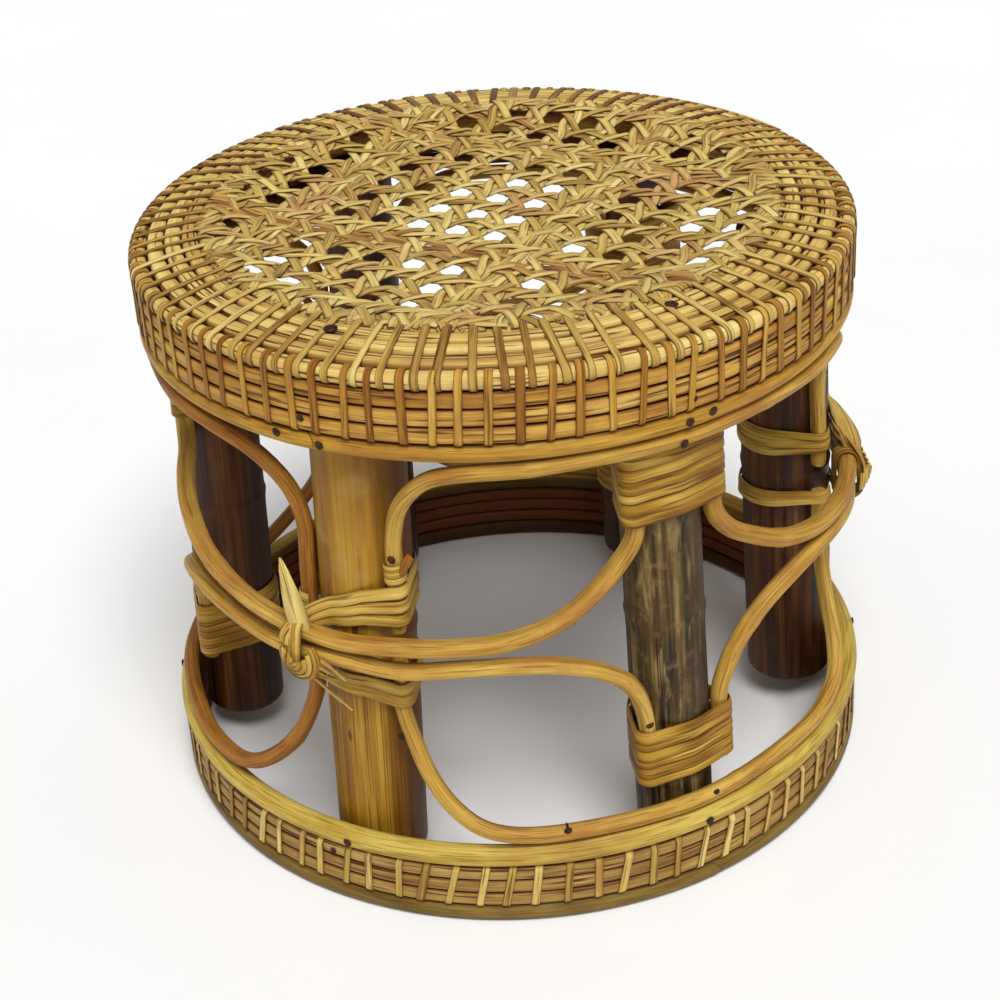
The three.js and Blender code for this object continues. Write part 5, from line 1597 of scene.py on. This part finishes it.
# One knot's lashing and ball, its leaf, its loose strips and the strips at the arch's end.
def addKnot(number, leg, lines):
    rng = np.random.default_rng(knotLook["seed"] + number)
    turn, out, across, (upper, lower) = knotPlace(leg, lines)
    own = knots[number - 1]
    wraps = [knotLashing(rng, out, across, upper, lower)] + ballRings(rng, out, across, lower, own["ball"])
    name = f"knot_lashing_{number}"
    addPiece(name + "_strips", wraps, skins["stripSkin"], [name])
    name = f"knot_tip_{number}"
    leaf = leafStrip(rng, turn, out, across, upper, own["leaf"])
    addPiece(name + "_leaf", [leaf], skins["paleStrip"], [name])
    addPiece(f"knot_tail_{number}", looseStrips(rng, out, across, lower), skins["paleStrip"])
    addPiece(f"arch_wrap_{number}", [archWrap(rng, leg)], skins["stripSkin"])
    addPiece(f"knot_cut_end_{number}", [cutEnd(rng, leg, out, across)], skins["brownCane"])


for number, leg in enumerate(knotLegs, 1):
    addKnotBands(number, leg, knotLines[number - 1])
    addKnot(number, leg, knotLines[number - 1])
print("knots ready")


# Nails: a low uneven dome on a shank. profile gives the head's radius and height as shares.
nailLook = {
    "head": 4.4, "height": 0.9, "shank": 1.9, "depth": 6.0, "point": 1.5, "sides": 18, "seed": 191,
    "sharp": 35,
    "profile": ((0.12, 0.9), (0.5, 0.8), (0.8, 0.5), (0.97, 0.15), (1.0, 0), (0.9, -0.12)),
    "uneven": ((2, 0.04), (5, 0.03)), "phase": 6, "under": 0.15, "tip": 0.2,
}


# The head's rings and the shank's are circles made uneven by two sine waves, square to the face that they
# stand on.
def addNail(name, turn, radius, height, size=1.0, nodes=(), number=0, fromAbove=False):
    rng = np.random.default_rng(nailLook["seed"] + number)
    head, shank, depth = nailLook["head"] / 2 * size, nailLook["shank"] / 2 * size, nailLook["depth"]
    profile = np.array(nailLook["profile"])
    wide = np.concatenate([profile[:, 0] * head, [shank, shank, nailLook["tip"]]])
    deep = [-nailLook["under"], nailLook["point"] - depth, -depth]
    out = np.concatenate([profile[:, 1] * nailLook["height"] * size, deep])
    angle, ring = circle(nailLook["sides"])
    uneven = 1
    for wave, reach in nailLook["uneven"]:
        uneven = uneven + reach * np.sin(angle * wave + rng.uniform(0, nailLook["phase"]))
    outward, across, up = onRing(turn, 1, 0), onRing(turn + 90, 1, 0), upwards
    if fromAbove:
        outward, up = up, -outward
    rings = wide[:, None, None] * ring * uneven[:, None]
    middle = onRing(turn, radius, height)
    points = middle + outward * out[:, None, None] + across * rings[..., :1] + up * rings[..., 1:]
    parts = [skin(points, points - middle, rng)]
    addPiece(name, parts, skins["nailIron"], nodes, nailLook["sharp"])


for number, leg in enumerate(legs, 1):
    for label, radius, height in (("seat", reedRadius + stool["seatHoopPole"] / 2, seatHoopHeight),
                                  ("base", baseHoopRadius + stool["baseTopPole"] / 2, baseTopHeight)):
        name = f"nail_{label}_{number}"
        addNail(name + "_head", legMiddle(leg, height)[0], radius, height, 1.0, [name], number)

# Nails between the legs: turn, radius and height of the face that each is driven into, and its size.
looseNails = [
    (-34.4, 175, 254.5, 1.0), (-29.9, 174.7, 264.5, 0.8), (31.2, 175, 254.3, 1.0), (26.4, 174, 242.3, 1.0),
    (28.0, 174.7, 263.2, 0.8), (-31.8, 180.7, 28.0, 0.8), (5.8, 179.3, 51.6, 0.9), (30.4, 178.9, 49.6, 0.9),
]
for number, (turn, radius, height, size) in enumerate(looseNails, 1):
    addNail(f"loose_nail_{number}", turn, radius, height, size, (), number + 20)

# Two nails in the border, driven from above, by turn and radius.
for number, (turn, radius) in enumerate(((30.5, 147.8), (-29.0, 148.6)), 1):
    top = float(borderHeight(radius)) + stool["borderReed"] / 2 + 0.4
    addNail(f"border_nail_{number}", turn, radius, top, 1.5, (), number + 30, True)

# Nails through the cane ends beside the legs: leg, cane, side and height.
strandNails = [(legs[0], "archCane", 1, 191.5), (legs[1], "bowCane", -1, 93),
               (legs[2], "archCane", -1, 205), (legs[0], "bowCane", 1, 95)]
for number, (leg, cane, side, height) in enumerate(strandNails, 1):
    turn, radius = besideLeg(leg, stool[cane], side, height)
    addNail(f"strand_nail_{number}", turn, radius + stool[cane] / 2 - 0.2, height, 0.9, (), number + 40)
print("nails ready")


# Studio: the floor's half width in metres and its tones, the strengths of an even sky and of one soft sun,
# the sun's width in degrees and the direction that it shines from.
studioLook = {"floor": 40, "tones": ((248, 248, 248), (252, 252, 252)), "patches": (3.0, 0.3, 0.7),
              "rough": 0.9, "sky": 0.36, "sun": 2.5, "softness": 28, "from": (0.16, -0.78, 1.45)}


# Floor: a plain pale sheet that takes the stool's shadow.
def addFloor():
    mesh = bpy.data.meshes.new("floor")
    reach = studioLook["floor"]
    corners = [(x * reach, y * reach, 0) for x, y in ((-1, -1), (1, -1), (1, 1), (-1, 1))]
    mesh.from_pydata(corners, [], [(0, 1, 2, 3)])
    floor = bpy.data.objects.new("floor", mesh)
    bpy.context.scene.collection.objects.link(floor)
    material, tree, shader = newMaterial("paleFloor")
    first, second = [colour(*tone) for tone in studioLook["tones"]]
    tone = mix(tree, patches(tree, *studioLook["patches"]), first, second)
    finishMaterial(tree, shader, tone, studioLook["rough"])
    mesh.materials.append(material)


# A soft sun whose own up axis points at where it shines from.
def addSun():
    data = bpy.data.lights.new("sun", "SUN")
    data.energy, data.angle = studioLook["sun"], math.radians(studioLook["softness"])
    light = bpy.data.objects.new("sun", data)
    light.rotation_euler = Vector(studioLook["from"]).to_track_quat("Z", "Y").to_euler()
    bpy.context.scene.collection.objects.link(light)


# An even white sky.
def addSky():
    world = bpy.data.worlds.new("studio")
    world.use_nodes = True
    background = world.node_tree.nodes["Background"]
    background.inputs["Color"].default_value = (1, 1, 1, 1)
    background.inputs["Strength"].default_value = studioLook["sky"]
    bpy.context.scene.world = world


addFloor()
addSky()
addSun()
bpy.context.scene.view_settings.view_transform = "Standard"
print("studio ready")
